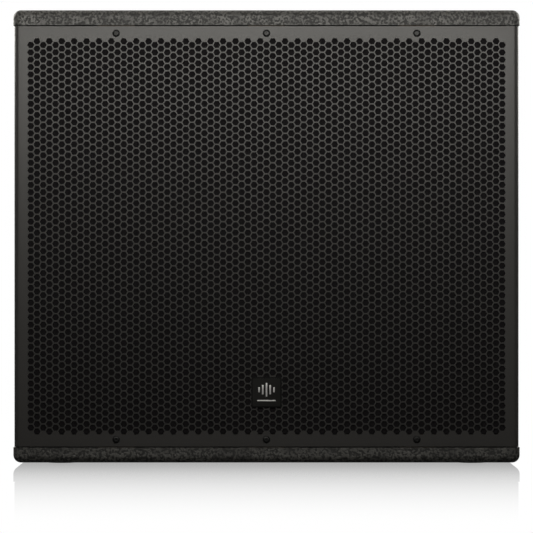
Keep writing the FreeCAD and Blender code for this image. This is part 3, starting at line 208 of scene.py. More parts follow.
@dataclass(frozen=True)
class Pattern:
    """Tools for one surface pattern: the graph it is made in, where it is read and how fine it is.

    Each method adds one pattern's nodes and returns its mask, which picks between two colours and two
    roughnesses, and its height, which feeds the bump.
    """

    graph: Graph
    place: Socket
    scale: Socket

    def pebble(self) -> tuple[Socket, Socket]:
        """Rolled textured paint: soft uneven lumps with finer ones between them. Its mask is high on the
        lumps and low in the hollows. The colours it picks are partly the paint's own uneven tone and partly
        painted highlight on the lumps and painted shade between them.

        Returns:
            The mask and the height.
        """
        graph, place, scale = self.graph, self.place, self.scale
        broad = graph.noise(place, scale, 1.0, 0.5)
        fine = graph.noise(place, graph.math("MULTIPLY", scale, 3.1), 2.0, 0.6)
        patches = graph.noise(place, graph.math("MULTIPLY", scale, 0.14), 1.0, 0.5)
        strength = graph.ramp(patches, 0.35, 0.6, 0.55, 1.0)
        lumps = graph.math("MULTIPLY", graph.ramp(broad, 0.42, 0.58), strength)
        grit = graph.ramp(fine, 0.3, 0.72)
        height = graph.math("ADD", graph.math("MULTIPLY", lumps, 0.72), graph.math("MULTIPLY", grit, 0.28))
        # the mask follows the lumps, so the colour it picks paints highlight on them and shade in the hollows
        return graph.math("MULTIPLY", lumps, graph.ramp(grit, 0.0, 1.0, 0.6, 1.0)), height

    def grain(self) -> tuple[Socket, Socket]:
        """Small even grains with a slow drift of tone.

        Returns:
            The mask and the height.
        """
        grains = self.graph.noise(self.place, self.scale, 2.0, 0.6)
        drift = self.graph.noise(self.place, 9.0, 2.0, 0.5)
        return self.graph.ramp(drift, 0.3, 0.7), self.graph.ramp(grains, 0.3, 0.7)

    def brushed(self) -> tuple[Socket, Socket]:
        """Fine lines along X, as from a belt or a saw.

        Returns:
            The mask and the height.
        """
        squeezed = self.graph.add("Mapping", {"Vector": self.place}, {"Scale": (0.04, 1.0, 1.0)})
        lines = self.graph.noise(squeezed.outputs[0], self.scale, 3.0, 0.65)
        return self.graph.ramp(lines, 0.35, 0.65), lines

    def weave(self) -> tuple[Socket, Socket]:
        """Crossed threads over and under each other in the XZ plane.

        Returns:
            The mask and the height.
        """
        graph = self.graph
        axes = graph.add("SeparateXYZ", {"Vector": self.place})
        turns = [graph.math("MULTIPLY", axes.outputs[k], self.scale) for k in (0, 2)]
        warp, weft = (graph.math("SINE", graph.math("MULTIPLY", t, 2 * math.pi)) for t in turns)
        threads = graph.math("ABSOLUTE", graph.math("MULTIPLY", warp, weft))
        return graph.ramp(threads, 0.0, 0.6), threads

    def fibre(self) -> tuple[Socket, Socket]:
        """Matted fibres, by noise bent with more noise.

        Returns:
            The mask and the height.
        """
        graph = self.graph
        bend = graph.add("TexNoise", {"Vector": self.place, "Scale": self.scale}, {"Detail": 2.0})
        bent = graph.add("VectorMath", {0: bend.outputs["Color"], 2: self.place}, {1: (0.004, 0.004, 0.004)},
                         operation="MULTIPLY_ADD")
        fibres = graph.noise(bent.outputs[0], graph.math("MULTIPLY", self.scale, 0.2), 6.0, 0.7)
        return graph.ramp(fibres, 0.35, 0.65), fibres

    def pores(self) -> tuple[Socket, Socket]:
        """Open cells with dark middles.

        Returns:
            The mask and the height.
        """
        cells = self.graph.add("TexVoronoi", {"Vector": self.place, "Scale": self.scale}, feature="F1")
        depth = cells.outputs["Distance"]
        return self.graph.ramp(depth, 0.15, 0.6), self.graph.math("SUBTRACT", 1.0, depth)

    def ply(self) -> tuple[Socket, Socket]:
        """Wood grain drawn out along Y, with slow bands.

        Returns:
            The mask and the height.
        """
        graph = self.graph
        drawn = graph.add("Mapping", {"Vector": self.place}, {"Scale": (1.0, 0.06, 1.0)}).outputs[0]
        veins = graph.noise(drawn, self.scale, 5.0, 0.6)
        bands = graph.ramp(graph.noise(drawn, graph.math("MULTIPLY", self.scale, 0.2), 2.0, 0.5),
                           0.3, 0.7, 0.5, 1.0)
        return graph.math("MULTIPLY", graph.ramp(veins, 0.3, 0.7), bands), veins

    def winding(self) -> tuple[Socket, Socket]:
        """Turns of wire side by side along Y.

        Returns:
            The mask and the height.
        """
        graph = self.graph
        axes = graph.add("SeparateXYZ", {"Vector": self.place})
        turns = graph.math("MULTIPLY", graph.math("MULTIPLY", axes.outputs[1], self.scale), 2 * math.pi)
        crest = graph.math("ABSOLUTE", graph.math("SINE", turns))
        return crest, crest

    def traces(self) -> tuple[Socket, Socket]:
        """Tracks of a circuit board, which run between irregular cells.

        Returns:
            The mask and the height.
        """
        cells = self.graph.add("TexVoronoi", {"Vector": self.place, "Scale": self.scale},
                               feature="DISTANCE_TO_EDGE")
        tracks = self.graph.ramp(cells.outputs["Distance"], 0.06, 0.1, 1.0, 0.0)
        return tracks, tracks


def start_group(name: str, inputs: dict[str, str], outputs: Iterable[str]) -> tuple[Graph, Sockets, Sockets]:
    """Starts a shared node group.

    Args:
        name: The group's name.
        inputs: Each input's name with its kind, Float or Vector.
        outputs: The names of its outputs, which are all of the kind Float.

    Returns:
        Its graph, the sockets that bring its inputs and the sockets that take its outputs.
    """
    tree = bpy.data.node_groups.new(name, "ShaderNodeTree")
    for label, kind in inputs.items():
        tree.interface.new_socket(label, in_out="INPUT", socket_type="NodeSocket" + kind)
    for label in outputs:
        tree.interface.new_socket(label, in_out="OUTPUT", socket_type="NodeSocketFloat")
    return Graph(tree), tree.nodes.new("NodeGroupInput").outputs, tree.nodes.new("NodeGroupOutput").inputs


@cache
def texture_group(texture: Texture) -> bpy.types.NodeTree:
    """The node group of a pattern, with the input Scale and the outputs Mask and Height.

    Args:
        texture: The pattern wanted.

    Returns:
        Its node tree, made on the first call.
    """
    graph, given, wanted = start_group("texture_" + texture.value, {"Scale": "Float"}, ("Mask", "Height"))
    pattern = Pattern(graph, graph.add("TexCoord").outputs["Object"], given["Scale"])
    mask, height = getattr(pattern, texture.value)()
    graph.tree.links.new(mask, wanted["Mask"])
    graph.tree.links.new(height, wanted["Height"])
    return graph.tree


@cache
def dust_group() -> bpy.types.NodeTree:
    """The node group whose Mask is high where a face looks up, broken by noise.

    Returns:
        Its node tree, made on the first call.
    """
    graph, _, wanted = start_group("dust_on_tops", {}, ("Mask",))
    normal = graph.add("NewGeometry").outputs["Normal"]
    up = graph.add("SeparateXYZ", {"Vector": normal}).outputs[2]
    place = graph.add("TexCoord").outputs["Object"]
    patches = graph.ramp(graph.noise(place, 14.0, 5.0, 0.65), 0.35, 0.75)
    specks = graph.ramp(graph.noise(place, 900.0, 2.0, 0.5), 0.5, 0.75)
    cover = graph.math("ADD", graph.math("MULTIPLY", patches, 0.6), graph.math("MULTIPLY", specks, 0.4))
    graph.tree.links.new(graph.math("MULTIPLY", graph.ramp(up, 0.3, 0.95), cover), wanted["Mask"])
    return graph.tree


@cache
def rub_group() -> bpy.types.NodeTree:
    """The node group whose Mask is high within Width of the outer edges of the box Low..High.

    Returns:
        Its node tree, made on the first call.
    """
    graph, given, wanted = start_group(
        "rubbed_edges", {"Low": "Vector", "High": "Vector", "Width": "Float"}, ("Mask",))
    place = graph.add("TexCoord").outputs["Object"]
    below = graph.add("VectorMath", {0: place, 1: given["Low"]}, operation="SUBTRACT")
    above = graph.add("VectorMath", {0: given["High"], 1: place}, operation="SUBTRACT")
    near = graph.add("VectorMath", {0: below.outputs[0], 1: above.outputs[0]}, operation="MINIMUM")
    x, y, z = graph.add("SeparateXYZ", {"Vector": near.outputs[0]}).outputs
    smallest = graph.math("MINIMUM", graph.math("MINIMUM", x, y), z)
    largest = graph.math("MAXIMUM", graph.math("MAXIMUM", x, y), z)
    total = graph.math("ADD", graph.math("ADD", x, y), z)
    second = graph.math("SUBTRACT", graph.math("SUBTRACT", total, smallest), largest)
    reach = graph.math("DIVIDE", graph.math("ADD", smallest, second), given["Width"])
    edge = graph.ramp(reach, 0.2, 1.0, 1.0, 0.0)
    chips = graph.ramp(graph.noise(place, 130.0, 5.0, 0.7), 0.52, 0.66)
    graph.tree.links.new(graph.math("MULTIPLY", edge, chips), wanted["Mask"])
    return graph.tree


# ------------------------------------------------------------------ finishes
DUST = (0.28, 0.26, 0.23, 1.0)
BARE_WOOD = (0.16, 0.12, 0.08, 1.0)
RUB_WIDTH = 7 * MM


@dataclass(frozen=True)
class Finish:
    """One surface finish: what it is made of and how its pattern varies it.

    Colours are linear. Scale is in cycles per metre and depth in metres of bump.
    """

    name: str
    colour: Colour
    roughness: float
    texture: Texture = Texture.GRAIN
    scale: float = 1500.0
    depth: float = 0.00003
    variation: float = 0.15
    accent: Colour | None = None
    gloss_variation: float = 0.08
    metallic: float = 0.0
    specular: float = 0.5
    coat: float = 0.0
    coat_roughness: float = 0.1
    sheen: float = 0.0
    glow: float = 0.0
    dusty: float = 0.0
    rubbed: float = 0.0

    def material(self) -> bpy.types.Material:
        """The finish as a material, made on the first call."""
        found = bpy.data.materials.get(self.name)
        return found if found is not None else self._build()

    def _build(self) -> bpy.types.Material:
        """Makes the material's nodes.

        Returns:
            The new material.
        """
        material = bpy.data.materials.new(self.name)
        material.use_nodes = True
        material.diffuse_color = (*self.colour, 1.0)
        tree = material.node_tree
        graph = Graph(tree)
        shader = tree.nodes["Principled BSDF"]
        pattern = graph.add("Group", node_tree=texture_group(self.texture))
        pattern.inputs["Scale"].default_value = self.scale
        mask = pattern.outputs["Mask"]
        other = self.accent or tuple(c * (1.0 - self.variation) for c in self.colour)
        colour = self._mix(graph, mask, (*other, 1.0), (*self.colour, 1.0))
        if self.dusty > 0.0:
            dust = graph.add("Group", node_tree=dust_group()).outputs["Mask"]
            share = graph.math("MULTIPLY", dust, self.dusty)
            colour = self._mix(graph, share, colour, DUST)
        if self.rubbed > 0.0:
            rub = graph.add("Group", node_tree=rub_group())
            rub.inputs["Low"].default_value = CAD_BOX[0]
            rub.inputs["High"].default_value = CAD_BOX[1]
            rub.inputs["Width"].default_value = RUB_WIDTH
            share = graph.math("MULTIPLY", rub.outputs["Mask"], self.rubbed)
            colour = self._mix(graph, share, colour, BARE_WOOD)
        tree.links.new(colour, shader.inputs["Base Color"])
        dullest = min(1.0, self.roughness + self.gloss_variation)
        glossiest = max(0.02, self.roughness - self.gloss_variation)
        rough = graph.ramp(mask, 0.0, 1.0, dullest, glossiest)
        tree.links.new(rough, shader.inputs["Roughness"])
        bump = graph.add("Bump", {"Height": pattern.outputs["Height"]},
                         {"Strength": 1.0, "Distance": self.depth})
        tree.links.new(bump.outputs["Normal"], shader.inputs["Normal"])
        for socket, value in (("Metallic", self.metallic), ("Specular IOR Level", self.specular),
                              ("Coat Weight", self.coat), ("Coat Roughness", self.coat_roughness),
                              ("Sheen Weight", self.sheen)):
            shader.inputs[socket].default_value = value
        if self.glow > 0.0:
            tree.links.new(colour, shader.inputs["Emission Color"])
            shader.inputs["Emission Strength"].default_value = self.glow
        return material

    @staticmethod
    def _mix(graph: Graph, factor: Socket, first: Socket | tuple, second: Socket | tuple) -> Socket:
        """Blends two colours.

        Args:
            graph: The graph to add to.
            factor: The share of the second colour.
            first: A socket or a fixed colour.
            second: A socket or a fixed colour.

        Returns:
            The blended colour's socket.
        """
        node = graph.add("Mix", {0: factor}, data_type="RGBA")
        for socket, value in ((node.inputs[6], first), (node.inputs[7], second)):
            if isinstance(value, tuple):
                socket.default_value = value
            else:
                graph.tree.links.new(value, socket)
        return node.outputs[2]


class Palette:
    """Every finish of the cabinet, by the thing that wears it."""

    # Its light colour on the pebble's lumps and its dark accent in their hollows are partly the paint's own
    # uneven tone and partly painted highlight and painted shade of the relief.
    CABINET = Finish("cabinet_paint_with_painted_relief_shade", (0.108, 0.106, 0.100), 0.44, Texture.PEBBLE, 370.0, 0.0003,
                     accent=(0.011, 0.0108, 0.0102), gloss_variation=0.15, dusty=0.04, rubbed=0.25)
    PLYWOOD = Finish("stained_plywood", (0.10, 0.075, 0.05), 0.7, Texture.PLY, 90.0, 0.0002, 0.5)
    GRILLE = Finish("grille_powder_coat", (0.033, 0.0317, 0.0307), 0.38, Texture.GRAIN, 2600.0, 0.00001,
                    0.02, gloss_variation=0.01)
    FOAM = Finish("acoustic_foam", (0.0115, 0.0104, 0.0115), 0.95, Texture.PORES, 1100.0, 0.0006, 0.5,
                  specular=0.1)
    # The rim's near-black colour, darker than the badge's face, is partly a black rim and partly painted
    # shade of a gap round the badge.
    BADGE_RIM_GAP_SHADE = Finish("badge_rim_painted_gap_shade", (0.0015, 0.0015, 0.0015), 0.5, Texture.GRAIN, 3000.0, 0.000004,
                       0.1, specular=0.2)
    BADGE_FACE = Finish("badge_face_satin", (0.0075, 0.0074, 0.0068), 0.4, Texture.GRAIN, 2600.0, 0.00001,
                        0.1, specular=0.3)
    EMBLEM = Finish("emblem_satin_grey", (0.66, 0.66, 0.66), 0.36, Texture.BRUSHED, 2400.0, 0.000008, 0.12,
                    metallic=0.3)
    BLACK_SCREW = Finish("screw_black_oxide", (0.008, 0.008, 0.0082), 0.4, Texture.GRAIN, 4000.0, 0.000008,
                         0.3, specular=0.35)
    CASTING = Finish("cast_frame_black", (0.03, 0.03, 0.031), 0.5, Texture.GRAIN, 900.0, 0.00006, 0.2,
                     metallic=0.3)
    GASKET = Finish("gasket_rubber", (0.018, 0.018, 0.018), 0.8, Texture.GRAIN, 1600.0, 0.00003, 0.2)
    FERRITE = Finish("magnet_ferrite", (0.055, 0.056, 0.062), 0.6, Texture.GRAIN, 700.0, 0.00005, 0.25)
    PLATED = Finish("plated_steel", (0.32, 0.33, 0.35), 0.3, Texture.BRUSHED, 1500.0, 0.00001, 0.2,
                    metallic=1.0)
    ZINC = Finish("zinc_sheet", (0.5, 0.5, 0.49), 0.38, Texture.GRAIN, 120.0, 0.00001, 0.25, metallic=1.0)
    CONE = Finish("cone_pulp", (0.028, 0.028, 0.030), 0.72, Texture.FIBRE, 900.0, 0.00012, 0.4)
    ROLL = Finish("surround_treated_cloth", (0.030, 0.028, 0.026), 0.62, Texture.WEAVE, 620.0, 0.00012, 0.3)
    SPIDER = Finish("spider_resin_cloth", (0.50, 0.33, 0.11), 0.7, Texture.WEAVE, 700.0, 0.0001, 0.4)
    FORMER = Finish("former_glass_fibre", (0.6, 0.42, 0.2), 0.5, Texture.WEAVE, 900.0, 0.00004, 0.3)
    COPPER = Finish("coil_copper", (0.75, 0.34, 0.16), 0.3, Texture.WINDING, 1200.0, 0.00015, 0.4,
                    metallic=1.0)
    AMP_PLATE = Finish("amp_plate_fine_coat", (0.026, 0.026, 0.027), 0.52, Texture.GRAIN, 1500.0, 0.00006,
                       0.14, dusty=0.08)
    HEATSINK = Finish("heatsink_black_anodised", (0.018, 0.018, 0.020), 0.42, Texture.BRUSHED, 1400.0,
                      0.00002, 0.25, metallic=0.4, dusty=0.15)
    BOARD = Finish("board_green_mask", (0.012, 0.075, 0.028), 0.35, Texture.TRACES, 160.0, 0.00003, 0.3,
                   accent=(0.02, 0.13, 0.05))
    COMPONENTS = Finish("components_sleeved", (0.03, 0.032, 0.045), 0.45, Texture.GRAIN, 500.0, 0.00003,
                        0.3)
    DISPLAY = Finish("display_dark_window", (0.006, 0.008, 0.014), 0.08, Texture.GRAIN, 2000.0, 0.000002,
                     0.2, coat=0.8, coat_roughness=0.03, gloss_variation=0.02)
    SCREEN_GLOW = Finish("display_segments", (0.35, 0.65, 0.95), 0.4, Texture.GRAIN, 5000.0, 0.000002,
                         0.15, glow=1.2)
    KNOB = Finish("knob_moulded", (0.018, 0.018, 0.019), 0.42, Texture.GRAIN, 2200.0, 0.00003, 0.15)
    BUTTON = Finish("button_silicone", (0.10, 0.10, 0.105), 0.6, Texture.GRAIN, 2400.0, 0.00002, 0.12)
    LAMP = Finish("lamp_green", (0.12, 0.75, 0.22), 0.3, Texture.GRAIN, 3000.0, 0.000002, 0.2, glow=0.8)
    SOCKET = Finish("socket_moulded", (0.016, 0.016, 0.017), 0.38, Texture.GRAIN, 2600.0, 0.00002, 0.15)
    INLET = Finish("inlet_moulded", (0.02, 0.03, 0.06), 0.4, Texture.GRAIN, 2600.0, 0.00002, 0.15)
    CONTACT = Finish("contact_gold", (0.83, 0.58, 0.22), 0.22, Texture.BRUSHED, 3000.0, 0.000004, 0.15,
                     metallic=1.0)
    LATCH = Finish("latch_grey", (0.22, 0.22, 0.225), 0.4, Texture.GRAIN, 3000.0, 0.00001, 0.12,
                   metallic=0.5)
    PRINT = Finish("panel_print", (0.62, 0.62, 0.60), 0.6, Texture.GRAIN, 2500.0, 0.000004, 0.18)
    HANDLE = Finish("handle_moulded", (0.021, 0.021, 0.022), 0.5, Texture.GRAIN, 1300.0, 0.00008, 0.2,
                    dusty=0.1)
    GRIP = Finish("grip_soft_rubber", (0.024, 0.024, 0.024), 0.75, Texture.GRAIN, 2000.0, 0.00005, 0.2)
    FOOT = Finish("foot_rubber", (0.02, 0.02, 0.02), 0.85, Texture.GRAIN, 1500.0, 0.00005, 0.3)
    LEAD = Finish("lead_silicone", (0.35, 0.02, 0.018), 0.45, Texture.GRAIN, 1500.0, 0.00001, 0.15)
    WADDING = Finish("polyester_wadding", (0.62, 0.61, 0.57), 0.95, Texture.FIBRE, 500.0, 0.0012, 0.35,
                     sheen=0.3)


# ------------------------------------------------------------------ mesh building blocks
@dataclass(frozen=True)
class Ring:
    """One loop of a turned or lofted body: a height along its axis and a radius at each angle."""

    height: float
    radius: float | Callable[[float], float]

    def at(self, angle: float) -> float:
        """The radius at an angle in radians."""
        return self.radius(angle) if callable(self.radius) else self.radius


def hexagon(across_flats: float) -> Callable[[float], float]:
    """Radius of a hexagon as a function of angle, for a Ring.

    Args:
        across_flats: Distance between opposite flats.

    Returns:
        A function from an angle in radians to the hexagon's radius.
    """
    sector = math.pi / 3

    def radius(angle: float) -> float:
        """The hexagon's radius at an angle."""
        return across_flats / 2 / math.cos((angle % sector) - sector / 2)

    return radius


def edges_at(verts: Iterable[bmesh.types.BMVert]) -> list[bmesh.types.BMEdge]:
    """Every edge that meets one of the vertices, each once and in their order."""
    return list(dict.fromkeys(edge for vert in verts for edge in vert.link_edges))


def verts_of(geometry: Iterable[object]) -> list[bmesh.types.BMVert]:
    """The vertices in a list of mixed mesh elements."""
    return [element for element in geometry if isinstance(element, bmesh.types.BMVert)]


class Shape:
    """A mesh under construction, with the few operations that these pieces share."""

    def __init__(self) -> None:
        """Starts with an empty bmesh."""
        self.bm = bmesh.new()

    def loft(self, rings: Sequence[Ring], segments: int, matrix: Matrix) -> None:
        """Joins rings round the Z axis into a closed body.

        Args:
            rings: The loops in order, with a face at each end.
            segments: How many corners each loop has.
            matrix: Where the body goes.
        """
        made: list[bmesh.types.BMVert] = []
        loops = []
        for ring in rings:
            circle = bmesh.ops.create_circle(self.bm, segments=segments, radius=1.0)
            for vert in circle["verts"]:
                angle = math.atan2(vert.co.y, vert.co.x)
                vert.co = vert.co.normalized() * ring.at(angle)
                vert.co.z = ring.height
            made += circle["verts"]
            loops.append(edges_at(circle["verts"]))
        for lower, upper in zip(loops, loops[1:]):
            bmesh.ops.bridge_loops(self.bm, edges=lower + upper)
        for loop in (loops[0], loops[-1]):
            bmesh.ops.edgeloop_fill(self.bm, edges=loop)
        bmesh.ops.transform(self.bm, matrix=matrix, verts=made)

    def brick(self, low: Sequence[float], high: Sequence[float], round_by: float = 0.0,
              segments: int = 2) -> None:
        """Adds a box.

        Args:
            low: Its lowest corner.
            high: Its highest corner.
            round_by: The radius of its edges, or 0 for sharp ones.
            segments: How many faces a rounded edge has.
        """
        middle = (Vector(low) + Vector(high)) / 2
        size = Vector(high) - Vector(low)
        place = Matrix.Translation(middle) @ Matrix.Diagonal((*size, 1.0))
        cube = bmesh.ops.create_cube(self.bm, size=1.0, matrix=place)
        if round_by > 0.0:
            bmesh.ops.bevel(self.bm, geom=edges_at(cube["verts"]), offset=round_by, segments=segments,
                            affect="EDGES", profile=0.5, material=-1)

    def finish(self, name: str, finish: Finish, body: str, slot: str, stands_for: Iterable[str] = (),
               outward: bool = True, sharp: float = 35.0) -> bpy.types.Object:
        """Turns the mesh into an object that rides on a body.

        Args:
            name: The piece's name.
            finish: What it is finished in.
            body: The CAD body that it moves with.
            slot: The record's material slot; not used.
            stands_for: CAD nodes that it replaces.
            outward: Recalculates the normals, for closed shapes.
            sharp: Faces meeting at more than this angle, in degrees, stay sharp.

        Returns:
            The new object.
        """
        if outward:
            bmesh.ops.recalc_face_normals(self.bm, faces=self.bm.faces)
        for edge in self.bm.edges:
            edge.smooth = len(edge.link_faces) == 2 and edge.calc_face_angle(math.pi) < math.radians(sharp)
        for face in self.bm.faces:
            face.smooth = True
        mesh = bpy.data.meshes.new(name)
        self.bm.to_mesh(mesh)
        self.bm.free()
        mesh.materials.append(finish.material())
        piece = bpy.data.objects.new(name, mesh)
        bpy.context.scene.collection.objects.link(piece)
        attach(piece, body)
        nodes = tuple(stands_for)
        if nodes:
            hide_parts(*nodes)
        log.info("%s: %d faces, on %s", name, len(mesh.polygons), body)
        return piece


def dress(finish: Finish, *nodes: str) -> None:
    """Puts a finish on CAD nodes in place of their packed one.

    Args:
        finish: The finish to wear.
        nodes: The CAD nodes' names.
    """
    for node in nodes:
        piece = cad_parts[node]
        if not piece.material_slots:
            piece.data.materials.append(finish.material())
        for place in piece.material_slots:
            place.material = finish.material()
        log.info("%s wears %s", node, finish.name)


def facing(direction: Sequence[float], place: Sequence[float]) -> Matrix:
    """A matrix that turns +Z to a direction and moves the origin to a place."""
    turn = Vector((0, 0, 1)).rotation_difference(Vector(direction)).to_matrix().to_4x4()
    return Matrix.Translation(Vector(place)) @ turn


# ------------------------------------------------------------------ the front
@dataclass
class FrontGrille:
    """The perforated sheet with its foam, screws and badge."""

    pitch_across: float = 7.345 * MM
    pitch_up: float = 8.715 * MM
    columns: int = 77
    rows: int = 53                      # in the outer columns; every second one has one more
    hole: float = 7.2 * MM              # across flats
    sheet: float = 1.5 * MM
    bend: float = 6.0 * MM
    screw_head: float = 4.4 * MM        # radius
    screw_shank: float = 2.4 * MM
    screw_hole: float = 2.6 * MM
    screw_x: float = 178.0 * MM
    screw_edge: float = 8.4 * MM
    proud: float = 0.5 * MM             # how far its bent sides stand out past the side panels
    foam_swell: float = 0.5 * MM
    badge_rim: float = 1.7 * MM
    badge_relief: float = 0.4 * MM      # how far its mark stands out
    extent: Extent = field(default_factory=lambda: Extent.of("grille"))

    def build(self) -> None:
        """Makes all the front's pieces."""
        self._build_sheet()
        self._build_screws()
        self._build_foam()
        self._build_badge()

    def screw_places(self) -> list[tuple[float, float]]:
        """Where the screws are.

        Returns:
            (x, z) of each screw.
        """
        low = self.extent.low.z + self.screw_edge
        high = self.extent.high.z - self.screw_edge
        return [(x, z) for z in (low, high) for x in (-self.screw_x, 0.0, self.screw_x)]

    def _cell(self, bm: bmesh.types.BMesh) -> list:
        """One hole with the strip of sheet round it that is nearer to it than to any other hole.

        Args:
            bm: The mesh to add it to.

        Returns:
            The new vertices, edges and faces.
        """
        tip_to_flat = (self.pitch_across ** 2 - self.pitch_up ** 2 / 4) / (2 * self.pitch_across)
        corner = self.pitch_across - tip_to_flat
        outer = bmesh.ops.create_circle(bm, segments=6, radius=1.0)["verts"]
        inner = bmesh.ops.create_circle(bm, segments=6, radius=1.0)["verts"]
        for verts, tip, shoulder, half in (
                (outer, corner, tip_to_flat, self.pitch_up / 2),
                (inner, self.hole / math.sqrt(3), self.hole / math.sqrt(12), self.hole / 2)):
            for index, vert in enumerate(verts):
                turn = math.radians(60 * index)
                on_side = abs(math.sin(turn)) < 0.5
                across = (tip if on_side else shoulder) * math.copysign(1.0, math.cos(turn))
                vert.co = (across, 0.0, 0.0 if on_side else half * math.copysign(1.0, math.sin(turn)))
        edges = edges_at(outer + inner)
        strip = bmesh.ops.bridge_loops(bm, edges=edges)
        return outer + inner + edges + strip["edges"] + strip["faces"]

    def _spread(self, bm: bmesh.types.BMesh, source: list, count: int, step: Vector) -> list:
        """Repeats geometry along a step.

        Args:
            bm: The mesh that holds it.
            source: What to repeat.
            count: How many there are in the end, with the first.
            step: From each one to the next.

        Returns:
            All the geometry, the source included.
        """
        everything = list(source)
        for number in range(1, count):
            copy = bmesh.ops.duplicate(bm, geom=source)["geom"]
            bmesh.ops.translate(bm, vec=step * number, verts=verts_of(copy))
            everything += copy
        return everything

    def _perforated_field(self, bm: bmesh.types.BMesh) -> None:
        """Adds the columns of cells and welds them.

        Args:
            bm: The mesh to add them to.
        """
        middle = self.extent.centre
        for odd in (0, 1):
            rows = self.rows + odd
            cell = self._cell(bm)
            start = Vector(((odd - (self.columns - 1) / 2) * self.pitch_across + middle.x, self.extent.low.y,
                            middle.z - (rows - 1) / 2 * self.pitch_up))
            bmesh.ops.translate(bm, vec=start, verts=verts_of(cell))
            column = self._spread(bm, cell, rows, Vector((0, 0, self.pitch_up)))
            self._spread(bm, column, (self.columns + 1 - odd) // 2, Vector((2 * self.pitch_across, 0, 0)))
        bmesh.ops.remove_doubles(bm, verts=bm.verts, dist=0.05 * MM)

    def _margin(self, bm: bmesh.types.BMesh) -> None:
        """Closes the sheet between the field of holes, the outer rectangle and the screw holes.

        Args:
            bm: The mesh that holds the field.
        """
        field_rim = [e for e in bm.edges if e.is_boundary and not self._is_hole_edge(e)]
        flat = self.extent.high.x + self.proud - self.bend
        corners = [(-flat, self.extent.low.z), (flat, self.extent.low.z),
                   (flat, self.extent.high.z), (-flat, self.extent.high.z)]
        verts = [bm.verts.new((x, self.extent.low.y, z)) for x, z in corners]
        border = [bm.edges.new((a, b)) for a, b in zip(verts, verts[1:] + verts[:1])]
        for x, z in self.screw_places():
            circle = bmesh.ops.create_circle(bm, segments=16, radius=self.screw_hole,
                                             matrix=facing((0, -1, 0), (x, self.extent.low.y, z)))
            border += edges_at(circle["verts"])
        bmesh.ops.triangle_fill(bm, edges=field_rim + border, normal=(0.0, -1.0, 0.0))

    def _is_hole_edge(self, edge: bmesh.types.BMEdge) -> bool:
        """Whether a boundary edge is one side of a hole, which its length tells."""
        side = self.hole / math.sqrt(3)
        return abs(edge.calc_length() - side) < 0.02 * MM

    def _sides(self, bm: bmesh.types.BMesh) -> None:
        """Bends both side edges back round a radius and draws them out.

        Args:
            bm: The mesh that holds the flat sheet.
        """
        flat = self.extent.high.x + self.proud - self.bend
        back = self.extent.high.y - self.extent.low.y - self.bend
        for side in (-1, 1):
            edges = [e for e in bm.edges if all(abs(v.co.x - side * flat) < 0.01 * MM for v in e.verts)]
            centre = (side * flat, self.extent.low.y + self.bend, 0.0)
            spun = bmesh.ops.spin(bm, geom=edges, cent=centre, axis=(0, 0, 1), angle=side * math.pi / 2,
                                  steps=6, use_merge=False)
            last = [g for g in spun["geom_last"] if isinstance(g, bmesh.types.BMEdge)]
            drawn = bmesh.ops.extrude_edge_only(bm, edges=last)["geom"]
            bmesh.ops.translate(bm, vec=(0, back, 0), verts=verts_of(drawn))

    def _build_sheet(self) -> None:
        """Makes the perforated sheet with its bent sides, in its real thickness."""
        shape = Shape()
        bm = shape.bm
        self._perforated_field(bm)
        self._margin(bm)
        self._sides(bm)
        bmesh.ops.remove_doubles(bm, verts=bm.verts, dist=0.005 * MM)
        bmesh.ops.recalc_face_normals(bm, faces=bm.faces)
        if sum(f.normal.y * f.calc_area() for f in bm.faces) > 0:
            bmesh.ops.reverse_faces(bm, faces=bm.faces)
        bmesh.ops.solidify(bm, geom=list(bm.faces), thickness=self.sheet)
        shape.finish("perforated_grille", Palette.GRILLE, "cabinet", "grille_steel", ["grille"], sharp=30.0)

    def _build_screws(self) -> None:
        """Makes the six button-head screws: hexagon socket, domed head, then shank and point."""
        shape = Shape()
        head = self.screw_head
        shank = self.screw_shank
        rings = [
            Ring(0.9 * MM, hexagon(2.4 * MM)), Ring(2.15 * MM, hexagon(2.5 * MM)),
            Ring(2.2 * MM, 2.0 * MM), Ring(2.15 * MM, 2.5 * MM), Ring(1.95 * MM, 3.05 * MM),
            Ring(1.55 * MM, 3.65 * MM), Ring(0.95 * MM, 4.15 * MM), Ring(0.35 * MM, head), Ring(0.0, head),
            Ring(0.0, shank), Ring(-21.0 * MM, shank), Ring(-22.8 * MM, 1.2 * MM)]
        for x, z in self.screw_places():
            shape.loft(rings, 24, facing((0, -1, 0), (x, self.extent.low.y, z)))
        shape.finish("grille_button_screws", Palette.BLACK_SCREW, "cabinet", "black_screw", ["grille_screws"],
                     sharp=50.0)

    def _build_foam(self) -> None:
        """Makes the foam behind the holes, with uneven broad faces and a rounded rim."""
        extent = Extent.of("grille_foam")
        swell = Vector((self.foam_swell,) * 3)
        half = extent.size / 2
        shape = Shape()
        shape.brick(extent.low + swell, extent.high - swell)
        bm = shape.bm
        broad = [e for e in bm.edges if abs(e.verts[0].co.y - e.verts[1].co.y) < 1e-6]
        bmesh.ops.subdivide_edges(bm, edges=broad, cuts=40, use_grid_fill=True)
        for vert in bm.verts:
            offset = vert.co - extent.centre
            rim = min(half.x - abs(offset.x), half.z - abs(offset.z))
            pinch = min(1.0, max(0.0, rim / (6 * self.foam_swell)))
            lift = noise.noise(vert.co * 60.0) * 0.9 * pinch - (1 - pinch) ** 2
            vert.co.y += math.copysign(lift * self.foam_swell, offset.y)
        piece = shape.finish("grille_foam_pad", Palette.FOAM, "cabinet", "foam", ["grille_foam"], sharp=60.0)

